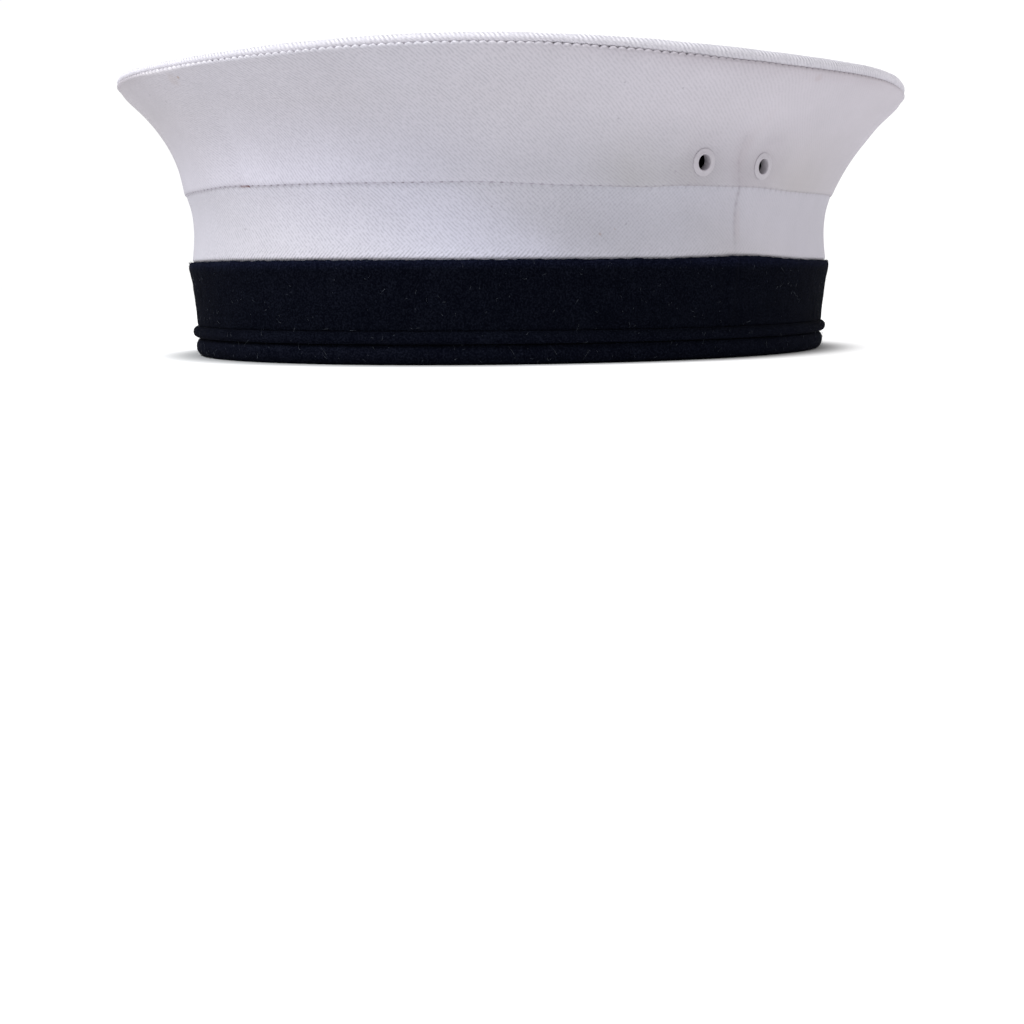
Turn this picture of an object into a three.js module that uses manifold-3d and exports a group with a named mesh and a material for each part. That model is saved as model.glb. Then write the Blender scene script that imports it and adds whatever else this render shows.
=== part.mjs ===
import * as THREE from "three";
import { mergeVertices } from "three/addons/utils/BufferGeometryUtils.js";
import Module from "manifold-3d";

// A sailor cap, in millimetres, +Z up. The front looks along -Y and the wearer's left side is at +X.
// The origin is in the middle of the head opening, on the surface that the cap rests on.
// Every ring is an oval, and "out" is the distance outside the oval of the navy band's top edge.

// Navy head band
const bandHalfLength = 105; // the oval of its top edge, middle to front
const bandHalfWidth = 88; // middle to side
const bandHeight = 26.8;
const bandTaper = 2.15; // how far it draws in from its top edge to its foot
const bandWall = 1.6;
const bandEdgeInset = 0.8; // from its outside to the crest of its rounded top edge
const bandLift = 0.9; // how far its top edge rises at the sides
const beadRadius = 1.5;
const hemHeight = 5.3;
const hemWall = 4;
const hemProud = 0.7; // how far the hem bulges outside the band's foot

// White side band
const seamHeight = 46.1; // where the flare is sewn to it
const sideWall = 1.2;
const waistDepth = 1.7; // how far its waist lies inside the navy band's top edge

// Flaring crown wall
const rimHalfLength = 121.75;
const rimHalfWidth = 111.75;
const crownHeight = 77.6; // the top of the piping
const flareWall = 1.2;
const flareOverhang = 0.55; // how far its folded foot stands outside the navy band's top edge
const footFold = 0.5; // the roundness of that fold
const rollDepth = 0.9; // how far its top edge rolls in under the piping
const rollHeight = 2.5;
const rimLift = 1.6; // how far the rim rises and dips round the cap
const seamLift = 1.15; // how far the seam does

// Rim and top
const pipingRadius = 1.15;
const topWall = 1.5;
const topDome = 2; // how far the middle of the top stands above its edge
const topDrop = 0.2; // how far its edge lies below the top of the piping

// Eyelets
const holeRadius = 2;
const tubeWall = 0.3;
const flangeRadius = 3.65;
const washerRadius = 3.1;
const flangeThickness = 0.3;
const flangeRound = 0.12;
const eyeletUp = 0.172; // height of the centre, as a share of the flare's height

const clearance = 0.3; // between pieces that are sewn or set together
const ringSteps = 56;
const cordSides = 8;
const eyeletSides = 14;

const degrees = Math.PI / 180;
const fullTurn = 2 * Math.PI;

// Outside of the navy band: up is a share of bandHeight, inset a share of bandTaper.
const bandRows = [
  { up: 0.42, inset: 0.85 },
  { up: 0.56, inset: 0.68 },
  { up: 0.69, inset: 0.51 },
  { up: 0.8, inset: 0.33 },
  { up: 0.9, inset: 0.06 },
  { up: 0.96, inset: 0 },
];

// Rounded top edge of the navy band: inset is a share of bandEdgeInset, below of the height over its last row.
const bandEdgeRows = [
  { inset: 0.3, below: 0.3 },
  { inset: 1, below: 0 },
  { inset: 1.6, below: 0.4 },
];

// Section of the hem: inset is a share of hemWall, up a share of hemHeight.
const hemRows = [
  { inset: 0, up: 0.5 },
  { inset: 0.05, up: 0.78 },
  { inset: 0.22, up: 0.97 },
  { inset: 0.9, up: 1 },
  { inset: 1, up: 0.9 },
  { inset: 1, up: 0.08 },
  { inset: 0.93, up: 0 },
  { inset: 0.4, up: 0 },
  { inset: 0.14, up: 0.08 },
  { inset: 0.02, up: 0.25 },
];

// Heights of the side band's rows behind the navy band, as shares of bandHeight.
const tuckedUps = [0.42, 0.75, 0.96];

// Side band above the navy band: up is a share of the height from there to the seam, inset of waistDepth.
const waistRows = [
  { up: 0.08, inset: 0.64 },
  { up: 0.24, inset: 0.88 },
  { up: 0.5, inset: 1 },
  { up: 0.76, inset: 0.72 },
  { up: 1, inset: 0 },
];

// The flare: up is a share of its height, front and back are shares of the way out from its foot to the rim.
const flareRows = [
  { up: 0.1, front: 0.028, back: 0.059 },
  { up: 0.25, front: 0.085, back: 0.179 },
  { up: 0.42, front: 0.206, back: 0.337 },
  { up: 0.58, front: 0.356, back: 0.494 },
  { up: 0.73, front: 0.557, back: 0.65 },
  { up: 0.885, front: 0.866, back: 0.905 },
];

// Rolled top edge of the flare: below is a share of rollHeight under its top, inset a share of rollDepth.
const rollRows = [
  { below: 0.66, inset: 0.75 },
  { below: 0.36, inset: 0.05 },
  { below: 0.12, inset: 0.15 },
  { below: 0, inset: 1 },
];

// Rise and dip round the cap: turn is the angle from the front to either side, lift a share.
const rimSway = [
  { turn: 0, lift: -0.06 },
  { turn: 45, lift: 1 },
  { turn: 90, lift: -0.05 },
  { turn: 110, lift: 0.25 },
  { turn: 124, lift: -0.05 },
  { turn: 140, lift: -0.2 },
  { turn: 180, lift: -0.2 },
];
const seamSway = [
  { turn: 0, lift: 0.09 },
  { turn: 12, lift: -0.26 },
  { turn: 45, lift: -0.26 },
  { turn: 60, lift: -1 },
  { turn: 70, lift: -0.87 },
  { turn: 80, lift: 0.26 },
  { turn: 94, lift: 0.3 },
  { turn: 104, lift: -0.3 },
  { turn: 135, lift: 0.09 },
  { turn: 180, lift: 0.09 },
];
const bandSway = [
  { turn: 0, lift: 0 },
  { turn: 45, lift: -0.2 },
  { turn: 74, lift: 0 },
  { turn: 92, lift: 1 },
  { turn: 110, lift: 0 },
  { turn: 180, lift: 0 },
];

// The seams between the flare's quarters, in degrees from the front round the wearer's left.
const seamLines = {
  front: { footAngle: 4, middleAngle: 4, topAngle: 0.5 },
  left: { footAngle: 89.5, middleAngle: 87.6, topAngle: 88.5 },
  back: { footAngle: 180, middleAngle: 180, topAngle: 180 },
  right: { footAngle: 270.5, middleAngle: 272.4, topAngle: 271.5 },
};
const bandJoins = { leftAngle: 89, rightAngle: 271 };
const fullCircle = 360;

// Eyelets, in degrees from the front round the wearer's left.
const eyelets = [
  { name: "eyelet_left_front", angle: 80.6, panel: "flare_front_left" },
  { name: "eyelet_left_back", angle: 92.8, panel: "flare_back_left" },
  { name: "eyelet_right_back", angle: 267.2, panel: "flare_back_right" },
  { name: "eyelet_right_front", angle: 279.4, panel: "flare_front_right" },
];

const whiteCloth = new THREE.MeshStandardMaterial({ color: 0xdedce4, roughness: 0.9, metalness: 0 });
const navyCloth = new THREE.MeshStandardMaterial({ color: 0x12151f, roughness: 0.95, metalness: 0 });
const whiteEnamel = new THREE.MeshStandardMaterial({ color: 0xd6d3da, roughness: 0.45, metalness: 0 });

const wasm = await Module();
wasm.setup();

const cap = new THREE.Group();

// Value between the rows of a table, eased so that it is level at each row.
function eased(rows, key, value, at) {
  const next = Math.max(1, rows.findIndex((row) => row[key] >= at));
  const low = rows[next - 1];
  const high = rows[next];
  return low[value] + (high[value] - low[value]) * THREE.MathUtils.smoothstep(at, low[key], high[key]);
}

// Value on the straight lines between the rows of a table.
function between(rows, key, value, at) {
  const found = rows.findIndex((row) => row[key] >= at);
  const next = Math.max(1, found < 0 ? rows.length - 1 : found);
  const low = rows[next - 1];
  const high = rows[next];
  return low[value] + ((high[value] - low[value]) * (at - low[key])) / (high[key] - low[key]);
}

// The angle from the front to either side, from 0 to 180 degrees.
function turnFromFront(angle) {
  const turn = THREE.MathUtils.euclideanModulo(angle / degrees, fullCircle);
  return Math.min(turn, fullCircle - turn);
}

function rimTop(angle) {
  return crownHeight + rimLift * eased(rimSway, "turn", "lift", turnFromFront(angle));
}

function seamTop(angle) {
  return seamHeight + seamLift * eased(seamSway, "turn", "lift", turnFromFront(angle));
}

function bandTop(angle) {
  return bandHeight + bandLift * eased(bandSway, "turn", "lift", turnFromFront(angle));
}

// A section point at an angle round the band's oval, moved out by the same distance all round.
function bandPoint({ out, height }, angle) {
  const x = (bandHalfWidth + out) * Math.sin(angle);
  const y = -(bandHalfLength + out) * Math.cos(angle);
  return new THREE.Vector3(x, y, height);
}

// A section point at an angle round the rim's oval.
function rimPoint({ out, below }, angle) {
  const x = (rimHalfWidth + out) * Math.sin(angle);
  const y = -(rimHalfLength + out) * Math.cos(angle);
  return new THREE.Vector3(x, y, rimTop(angle) - below);
}

// A circle in section, as points of a closed loop that runs up its outer side.
function circleSection(radius, out, height) {
  return Array.from({ length: cordSides }, (_, i) => {
    const around = ((i + 0.5) / cordSides) * fullTurn;
    return { out: out + radius * Math.cos(around), height: height + radius * Math.sin(around) };
  });
}

// Closes a body from its points and triangles, without the triangles that have shrunk to nothing.
function closedBody(points, faces) {
  const loose = new THREE.BufferGeometry().setFromPoints(points).setIndex(faces);
  const merged = mergeVertices(loose, 1e-4);
  const kept = [];
  for (let i = 0; i < merged.index.count; i += 3) {
    const [a, b, c] = merged.index.array.slice(i, i + 3);
    if (a !== b && b !== c && c !== a) kept.push(a, b, c);
  }
  return merged.setIndex(kept);
}

// Triangles of a panel's flat end, facing back along the turn or on along it.
function endFaces(loop, start, facesOn) {
  const outline = loop.map((point) => new THREE.Vector2(Math.hypot(point.x, point.y), point.z));
  return THREE.ShapeUtils.triangulateShape(outline, []).flatMap(([a, b, c]) => {
    const ab = outline[b].clone().sub(outline[a]);
    const ac = outline[c].clone().sub(outline[a]);
    const turnsLeft = ab.cross(ac) > 0;
    const order = turnsLeft === facesOn ? [a, c, b] : [a, b, c];
    return order.map((index) => start + index);
  });
}

// A skin over section loops that each run up the outer side and down the inner side.
function skin(loops, isRing) {
  const size = loops[0].length;
  const spans = isRing ? loops.length : loops.length - 1;
  const faces = [];
  for (let j = 0; j < spans; j++) {
    const here = j * size;
    const next = ((j + 1) % loops.length) * size;
    for (let i = 0; i < size; i++) {
      const above = (i + 1) % size;
      faces.push(here + i, next + i, next + above);
      faces.push(here + i, next + above, here + above);
    }
  }
  if (!isRing) {
    faces.push(...endFaces(loops[0], 0, false));
    faces.push(...endFaces(loops.at(-1), (loops.length - 1) * size, true));
  }
  return closedBody(loops.flat(), faces);
}

function ring(loopAt) {
  return skin(Array.from({ length: ringSteps }, (_, j) => loopAt((j / ringSteps) * fullTurn)), true);
}

function addPiece(name, geometry, material) {
  const mesh = new THREE.Mesh(geometry, material);
  mesh.name = name;
  cap.add(mesh);
  return mesh;
}

// Inner rows of a wall, each one thickness behind its outer row and square to it, top to foot.
function innerRows(rows, wall) {
  return rows
    .map((row, i) => {
      const below = rows[Math.max(i - 1, 0)];
      const above = rows[Math.min(i + 1, rows.length - 1)];
      const rise = above.height - below.height;
      const run = above.out - below.out;
      const length = Math.hypot(rise, run);
      return { out: row.out - (wall * rise) / length, height: row.height + (wall * run) / length };
    })
    .reverse();
}

// Navy head band
const beadHeight = hemHeight + beadRadius + clearance / 2;
const bandFoot = beadHeight + beadRadius + clearance;

function bandOuterRows(angle) {
  const foot = { out: -bandTaper, height: bandFoot };
  const rows = bandRows.map(({ up, inset }) => ({ out: -inset * bandTaper, height: up * bandTop(angle) }));
  return [foot, ...rows];
}

function bandSection(angle) {
  const outer = bandOuterRows(angle);
  const shoulder = outer.at(-1);
  const top = bandTop(angle);
  const drop = top - shoulder.height;
  const edge = bandEdgeRows.map(({ inset, below }) => {
    return { out: -inset * bandEdgeInset, height: top - below * drop };
  });
  const behind = outer.filter((_, i) => i === 0 || i % 2 === 1).reverse();
  const inner = behind.map(({ out, height }) => ({ out: out - bandWall, height }));
  return [...outer, ...edge, ...inner];
}

function addHeadBand() {
  const loopAt = (angle) => bandSection(angle).map((point) => bandPoint(point, angle));
  addPiece("head_band", ring(loopAt), navyCloth);
}

// The bead's back is level with the band's inside, so it is sewn against the side band.
function addBandBead() {
  const section = circleSection(beadRadius, beadRadius - bandTaper - bandWall, beadHeight);
  addPiece("band_bead", ring((angle) => section.map((point) => bandPoint(point, angle))), navyCloth);
}

function addBandHem() {
  const outside = hemProud - bandTaper;
  const section = hemRows.map(({ inset, up }) => ({ out: outside - inset * hemWall, height: up * hemHeight }));
  addPiece("band_hem", ring((angle) => section.map((point) => bandPoint(point, angle))), navyCloth);
}

// White side band, which runs down inside the navy band to the hem
function sideOuterRows(angle) {
  const top = bandTop(angle);
  const against = bandOuterRows(angle);
  const inside = (height) => between(against, "height", "out", height) - bandWall - clearance;
  const hidden = [hemHeight + clearance, ...tuckedUps.map((up) => up * top)];
  const seen = seamTop(angle) - clearance / 2 - top;
  const rows = hidden.map((height) => ({ out: inside(Math.max(height, bandFoot)), height }));
  rows.push({ out: -bandWall - clearance / 2, height: top });
  for (const { up, inset } of waistRows) {
    rows.push({ out: -inset * waistDepth, height: top + up * seen });
  }
  return rows;
}

function addSideBand(name, from, to) {
  const halfGap = clearance / 2 / bandHalfWidth;
  const start = from * degrees + halfGap;
  const end = to * degrees - halfGap;
  const steps = ringSteps / 2;
  const loops = [];
  for (let j = 0; j <= steps; j++) {
    const angle = THREE.MathUtils.lerp(start, end, j / steps);
    const outer = sideOuterRows(angle);
    const section = [...outer, ...innerRows(outer, sideWall)];
    loops.push(section.map((point) => bandPoint(point, angle)));
  }
  addPiece(name, skin(loops, false), whiteCloth);
}

// Flare: its foot follows the band's oval and its top the rim's
const flareTopBelow = 2 * pipingRadius + clearance; // below the top of the piping
const travelLength = rimHalfLength - bandHalfLength - flareOverhang;
const travelWidth = rimHalfWidth - bandHalfWidth - flareOverhang;

// Outer rows of the flare at an angle. Travel is the share of the way to the rim and out is added to it.
function flareOuterRows(angle) {
  const foot = seamTop(angle) + clearance / 2;
  const top = rimTop(angle) - flareTopBelow;
  const height = top - foot;
  const rows = [
    { travel: 0, out: -footFold, height: foot },
    { travel: 0, out: 0, height: foot + footFold },
  ];
  const backShare = (1 - Math.cos(angle)) / 2;
  for (const { up, front, back } of flareRows) {
    rows.push({ travel: THREE.MathUtils.lerp(front, back, backShare), out: 0, height: foot + up * height });
  }
  return rows;
}

function flareSection(angle) {
  const outer = flareOuterRows(angle);
  const top = rimTop(angle) - flareTopBelow;
  const reach = travelLength * Math.cos(angle) ** 2 + travelWidth * Math.sin(angle) ** 2;
  const flat = outer.map((row) => ({ out: row.travel * reach + row.out, height: row.height }));
  const inner = innerRows(flat, flareWall).map((row, i) => {
    const from = outer[outer.length - 1 - i];
    return { travel: from.travel, out: row.out - from.travel * reach, height: row.height };
  });
  const roll = rollRows.map(({ below, inset }) => ({
    travel: 1,
    out: -inset * rollDepth,
    height: top - below * rollHeight,
  }));
  const innerEdge = { travel: 1, out: -rollDepth - flareWall, height: top };
  return [...outer, ...roll, innerEdge, ...inner];
}

function flarePoint({ travel, out, height }, angle) {
  const x = (bandHalfWidth + flareOverhang + travel * travelWidth + out) * Math.sin(angle);
  const y = -(bandHalfLength + flareOverhang + travel * travelLength + out) * Math.cos(angle);
  return new THREE.Vector3(x, y, height);
}

// Angle of a seam at a share of the flare's height, on the curve through its three marks.
function seamAngle({ footAngle, middleAngle, topAngle }, up) {
  const bow = 4 * middleAngle - 2 * (footAngle + topAngle);
  return (footAngle + (topAngle - footAngle) * up + bow * up * (1 - up)) * degrees;
}

function flareQuarter(from, to, wholeTurn) {
  const halfGap = clearance / 2 / bandHalfWidth;
  const steps = ringSteps / 4;
  const loops = [];
  for (let j = 0; j <= steps; j++) {
    const middle = THREE.MathUtils.lerp(from.middleAngle, to.middleAngle + wholeTurn, j / steps) * degrees;
    const section = flareSection(middle);
    const foot = section[0].height;
    const span = rimTop(middle) - flareTopBelow - foot;
    const loop = section.map((point) => {
      const up = THREE.MathUtils.clamp((point.height - foot) / span, 0, 1);
      const start = seamAngle(from, up) + halfGap;
      const end = seamAngle(to, up) + wholeTurn * degrees - halfGap;
      return flarePoint(point, THREE.MathUtils.lerp(start, end, j / steps));
    });
    loops.push(loop);
  }
  return skin(loops, false);
}

// Where an eyelet sits: the middle of the flat that its flange bridges on the hollow flare, the way it faces
// and how far the cloth lies behind that flat.
function eyeletSeat(angle) {
  const at = (turn, up) => {
    const rows = flareOuterRows(turn);
    const height = THREE.MathUtils.lerp(rows[0].height, rimTop(turn) - flareTopBelow, up);
    return flarePoint({ travel: between(rows, "height", "travel", height), out: 0, height }, turn);
  };
  const aside = flangeRadius / bandHalfWidth;
  const share = flangeRadius / (crownHeight - seamHeight);
  const above = at(angle, eyeletUp + share);
  const below = at(angle, eyeletUp - share);
  const along = at(angle + aside, eyeletUp).sub(at(angle - aside, eyeletUp));
  const normal = along.cross(above.clone().sub(below)).normalize();
  const point = above.add(below).divideScalar(2);
  return { point, normal, hollow: point.distanceTo(at(angle, eyeletUp)) };
}

function placeOnSeat(geometry, { point, normal }) {
  const axis = new THREE.Vector3(0, 1, 0);
  const turn = new THREE.Quaternion().setFromUnitVectors(axis, normal);
  return geometry.applyQuaternion(turn).translate(point.x, point.y, point.z);
}

function bodyFrom(geometry) {
  const bare = new THREE.BufferGeometry();
  bare.setAttribute("position", geometry.getAttribute("position"));
  bare.setIndex(geometry.index);
  const merged = mergeVertices(bare, 1e-4);
  const vertProperties = new Float32Array(merged.attributes.position.array);
  const triVerts = new Uint32Array(merged.index.array);
  return new wasm.Manifold(new wasm.Mesh({ numProp: 3, vertProperties, triVerts }));
}

function geometryFrom(body) {
  const { vertProperties, triVerts } = body.getMesh();
  const geometry = new THREE.BufferGeometry();
  geometry.setAttribute("position", new THREE.BufferAttribute(new Float32Array(vertProperties), 3));
  return geometry.setIndex(Array.from(triVerts));
}

// The panel with a round hole through it at each of its eyelets.
function pierced(geometry, seats) {
  const cutLength = 6 * flareWall;
  const cuts = seats.map((seat) => {
    const radius = holeRadius + tubeWall + clearance;
    return bodyFrom(placeOnSeat(new THREE.CylinderGeometry(radius, radius, cutLength, eyeletSides), seat));
  });
  return geometryFrom(cuts.reduce((body, cut) => body.subtract(cut), bodyFrom(geometry)));
}

// An eyelet grips the cloth between its flange outside and its washer inside.
function eyeletGeometry({ hollow }) {
  const face = clearance + flangeThickness;
  const back = -flareWall - clearance - hollow;
  const tube = holeRadius + tubeWall;
  const outline = [
    [holeRadius, back - flangeThickness],
    [washerRadius, back - flangeThickness],
    [washerRadius, back],
    [tube, back],
    [tube, clearance],
    [flangeRadius, clearance],
    [flangeRadius, face - flangeRound],
    [flangeRadius - 2 * flangeRound, face],
    [tube, face],
    [holeRadius, face - flangeRound],
  ];
  const points = [...outline, outline[0]].map(([radius, height]) => new THREE.Vector2(radius, height));
  return new THREE.LatheGeometry(points, eyeletSides);
}

function addFlare() {
  const { front, left, back, right } = seamLines;
  const panels = {
    flare_front_left: flareQuarter(front, left, 0),
    flare_back_left: flareQuarter(left, back, 0),
    flare_back_right: flareQuarter(back, right, 0),
    flare_front_right: flareQuarter(right, front, fullCircle),
  };
  const seats = eyelets.map((eyelet) => ({ ...eyelet, seat: eyeletSeat(eyelet.angle * degrees) }));
  for (const [name, geometry] of Object.entries(panels)) {
    const own = seats.filter(({ panel }) => panel === name).map(({ seat }) => seat);
    addPiece(name, pierced(geometry, own), whiteCloth);
  }
  for (const { name, seat } of seats) {
    addPiece(name, placeOnSeat(eyeletGeometry(seat), seat), whiteEnamel);
  }
}

function addRimPiping() {
  const section = circleSection(pipingRadius, -pipingRadius, pipingRadius);
  const loopAt = (angle) =>
    section.map(({ out, height }) => rimPoint({ out, below: 2 * pipingRadius - height }, angle));
  addPiece("rim_piping", ring(loopAt), whiteCloth);
}

// The top's edge butts against the piping, and its middle stands a little higher.
function addCrownTop() {
  const edge = 2 * pipingRadius + clearance;
  const edgeRound = topWall / 3;
  const upper = [0.9, 0.7, 0.4, 0];
  const lower = [0, 0.5, 0.9];
  const loopAt = (angle) => {
    const at = (share, out, drop) => {
      const lift = (rimTop(angle) - crownHeight) * share ** 2 + topDome * (1 - share ** 2);
      const x = share * (rimHalfWidth - edge + out) * Math.sin(angle);
      const y = -share * (rimHalfLength - edge + out) * Math.cos(angle);
      return new THREE.Vector3(x, y, crownHeight - topDrop + lift - drop);
    };
    return [
      at(1, 0, topWall - edgeRound),
      at(1, 0, edgeRound),
      at(1, -edgeRound, 0),
      ...upper.map((share) => at(share, 0, 0)),
      ...lower.map((share) => at(share, 0, topWall)),
      at(1, -edgeRound, topWall),
    ];
  };
  addPiece("crown_top", ring(loopAt), whiteCloth);
}

addHeadBand();
addBandBead();
addBandHem();
addSideBand("side_band_front", bandJoins.rightAngle - fullCircle, bandJoins.leftAngle);
addSideBand("side_band_back", bandJoins.leftAngle, bandJoins.rightAngle);
addFlare();
addRimPiping();
addCrownTop();

export default cap;
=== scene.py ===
import math
import random

import bpy
import numpy as np
from mathutils import Matrix, Vector, noise


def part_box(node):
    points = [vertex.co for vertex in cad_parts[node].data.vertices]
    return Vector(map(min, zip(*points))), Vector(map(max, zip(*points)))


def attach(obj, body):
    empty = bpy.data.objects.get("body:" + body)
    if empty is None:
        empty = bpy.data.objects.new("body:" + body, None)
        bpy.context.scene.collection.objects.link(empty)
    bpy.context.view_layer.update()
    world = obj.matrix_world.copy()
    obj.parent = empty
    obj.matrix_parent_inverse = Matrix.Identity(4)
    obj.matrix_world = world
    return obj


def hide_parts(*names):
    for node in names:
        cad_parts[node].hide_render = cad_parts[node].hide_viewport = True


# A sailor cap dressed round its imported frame. Metres, +Z up, the front along -Y, the wearer's left at +X.
# "turn" is the angle round the cap, in degrees from the front towards the wearer's left.

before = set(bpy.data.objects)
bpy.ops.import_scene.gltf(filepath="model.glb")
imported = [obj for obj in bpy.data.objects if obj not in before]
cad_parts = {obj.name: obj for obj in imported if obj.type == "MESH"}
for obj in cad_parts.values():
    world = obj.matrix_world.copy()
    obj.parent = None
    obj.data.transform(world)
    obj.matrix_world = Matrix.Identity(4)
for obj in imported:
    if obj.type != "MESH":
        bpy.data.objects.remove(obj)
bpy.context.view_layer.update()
mm = 0.001
print("frame loaded:", len(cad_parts), "nodes")


# Sizes that several pieces share, from the frame where it has them
def readSizes():
    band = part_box("head_band")[1]
    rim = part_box("rim_piping")[1]
    pipingRadius = 1.15 * mm
    facetLoss = pipingRadius * (1 - math.cos(math.pi / 8))  # the frame's piping has eight flat sides
    return {
        "bandWide": band.x, "bandLong": band.y, "bandHeight": 26.8 * mm, "bandTaper": 2.15 * mm,
        "bandWall": 1.6 * mm, "bandEdge": 0.8 * mm, "bandLift": 0.9 * mm,
        "bandFoot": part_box("head_band")[0].z,
        "beadRadius": 1.5 * mm, "beadHeight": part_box("band_bead")[0].z + 1.5 * mm * math.cos(math.pi / 8),
        "hemHeight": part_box("band_hem")[1].z, "hemWall": 4 * mm, "hemProud": 0.7 * mm,
        "seamHeight": 46.1 * mm, "seamLift": 1.15 * mm, "sideWall": 1.2 * mm, "waistDepth": 1.7 * mm,
        "rimWide": rim.x + facetLoss, "rimLong": rim.y + facetLoss,
        "crownHeight": 77.6 * mm, "rimLift": 1.6 * mm,
        "flareWall": 1.2 * mm, "flareOverhang": 0.55 * mm, "footFold": 0.5 * mm,
        "rollDepth": 0.9 * mm, "rollHeight": 2.5 * mm,
        "pipingRadius": pipingRadius, "topWall": 1.5 * mm, "topDome": 2 * mm, "topDrop": 0.2 * mm,
        "holeRadius": 2 * mm, "tubeRadius": 2.3 * mm, "flangeRadius": 3.65 * mm, "washerRadius": 3.1 * mm,
        "flangeThick": 0.3 * mm, "eyeletUp": 0.172, "gap": 0.3 * mm,
    }


size = readSizes()

# Rise and dip round the cap: turn from the front to either side, and a share of the lift
rimSway = [(0, -0.06), (45, 1), (90, -0.05), (110, 0.25), (124, 0.1), (140, -0.1), (180, -0.2)]
seamSway = [(0, 0.09), (12, -0.26), (36, -0.4), (45, -0.33), (60, -0.95), (70, -1), (80, -0.35),
            (94, -0.12), (104, -0.5), (135, 0.09), (180, 0.09)]
bandSway = [(0, 0), (45, -0.2), (74, 0), (92, 1), (110, 0), (180, 0)]


def eased(rows, turn):
    turn = np.abs((np.asarray(turn, float) + 180) % 360 - 180)
    angles, lifts = (np.array(column, float) for column in zip(*rows))
    high = np.clip(np.searchsorted(angles, turn), 1, len(rows) - 1)
    share = (turn - angles[high - 1]) / (angles[high] - angles[high - 1])
    share = share * share * (3 - 2 * share)
    return lifts[high - 1] + (lifts[high] - lifts[high - 1]) * share


def rimTop(turn):
    return size["crownHeight"] + size["rimLift"] * eased(rimSway, turn)


def seamTop(turn):
    return size["seamHeight"] + size["seamLift"] * eased(seamSway, turn)


def bandTop(turn):
    return size["bandHeight"] + size["bandLift"] * eased(bandSway, turn)


# A smooth curve through the rows of a section, with so many points in each span
def smoothRows(rows, perSpan, closed=False):
    rows = np.asarray(rows, float)
    spans = len(rows) if closed else len(rows) - 1
    if closed:
        rows = np.concatenate([rows[-1:], rows, rows[:2]])
    chords = np.linalg.norm(np.diff(rows, axis=0), axis=-1).reshape(len(rows) - 1, -1).mean(1)
    steps = np.sqrt(np.maximum(chords, 1e-9))
    slopes = np.diff(rows, axis=0) / steps.reshape([-1] + [1] * (rows.ndim - 1))
    tangents = np.empty_like(rows)
    tangents[0], tangents[-1] = slopes[0], slopes[-1]
    for i in range(1, len(rows) - 1):
        before, after = steps[i - 1], steps[i]
        tangents[i] = (slopes[i - 1] * after + slopes[i] * before) / (before + after)
    counts = perSpan if hasattr(perSpan, "__len__") else [perSpan] * spans
    made = []
    for span in range(spans):
        i = span + (1 if closed else 0)
        for j in range(counts[span]):
            s = j / counts[span]
            made.append(
                rows[i] * (2 * s**3 - 3 * s**2 + 1) + rows[i + 1] * (3 * s**2 - 2 * s**3)
                + steps[i] * (tangents[i] * (s**3 - 2 * s**2 + s) + tangents[i + 1] * (s**3 - s**2))
            )
    if not closed:
        made.append(rows[-1])
    return np.array(made)


def bell(off, width):
    return np.exp(-((off / width) ** 2))


# Depth of the pinch at each stitch, 1 at the needle hole, along a line that is so many stitches long
def pinch(stitches, width):
    return bell(stitches - np.round(stitches), width)


# An uneven row of stitches: strength of each one
def stitchStrength(stitches, seed, low=0.45):
    strengths = np.random.default_rng(seed).uniform(low, 1, 2000)
    return strengths[np.round(stitches).astype(int) % len(strengths)]


def smoothNoise(points, scale, offset):
    return np.array([noise.noise(Vector(p) * scale + Vector((offset, 0, 0))) for p in points])


# Modelling helpers
def clearSelection():
    if bpy.context.object and bpy.context.object.mode != "OBJECT":
        bpy.ops.object.mode_set(mode="OBJECT")
    bpy.ops.object.select_all(action="DESELECT")


def choose(piece):
    clearSelection()
    piece.select_set(True)
    bpy.context.view_layer.objects.active = piece


def readPoints(piece):
    points = np.empty(len(piece.data.vertices) * 3)
    piece.data.vertices.foreach_get("co", points)
    return points.reshape(-1, 3)


def writePoints(piece, points):
    piece.data.vertices.foreach_set("co", np.ascontiguousarray(points, float).ravel())
    piece.data.update()


def applyModifier(piece, kind, **settings):
    choose(piece)
    modifier = piece.modifiers.new(kind.lower(), kind)
    for key, value in settings.items():
        setattr(modifier, key, value)
    bpy.ops.object.modifier_apply(modifier=modifier.name)


def thicken(piece, wall):
    applyModifier(piece, "SOLIDIFY", thickness=wall, offset=-1, use_even_offset=False)


def editMesh(piece, *steps):
    choose(piece)
    bpy.ops.object.mode_set(mode="EDIT")
    bpy.ops.mesh.select_all(action="SELECT")
    for step in steps:
        step()
    bpy.ops.object.mode_set(mode="OBJECT")


def turnOut():
    bpy.ops.mesh.normals_make_consistent(inside=False)


def closeMesh(piece, nearness=1e-6):
    editMesh(piece, lambda: bpy.ops.mesh.remove_doubles(threshold=nearness), turnOut)


# Cloth map in metres: across the ribs of the twill, then along them
def mapCloth(piece, across, along, wrap=0):
    layer = piece.data.uv_layers.new(name="cloth")
    corners = np.empty(len(piece.data.loops), np.int32)
    piece.data.loops.foreach_get("vertex_index", corners)
    turns = np.stack([across[corners], along[corners]], 1)
    if wrap:  # the faces that close the ring run on past its end
        quads = turns.reshape(-1, 4, 2)
        low = quads[:, :, 0] < wrap / 4
        crossing = low.any(1) & (quads[:, :, 0] > wrap * 3 / 4).any(1)
        quads[crossing[:, None] & low, 0] += wrap
        turns = quads.reshape(-1, 2)
    layer.data.foreach_set("uv", turns.astype(np.float32).ravel())


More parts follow.
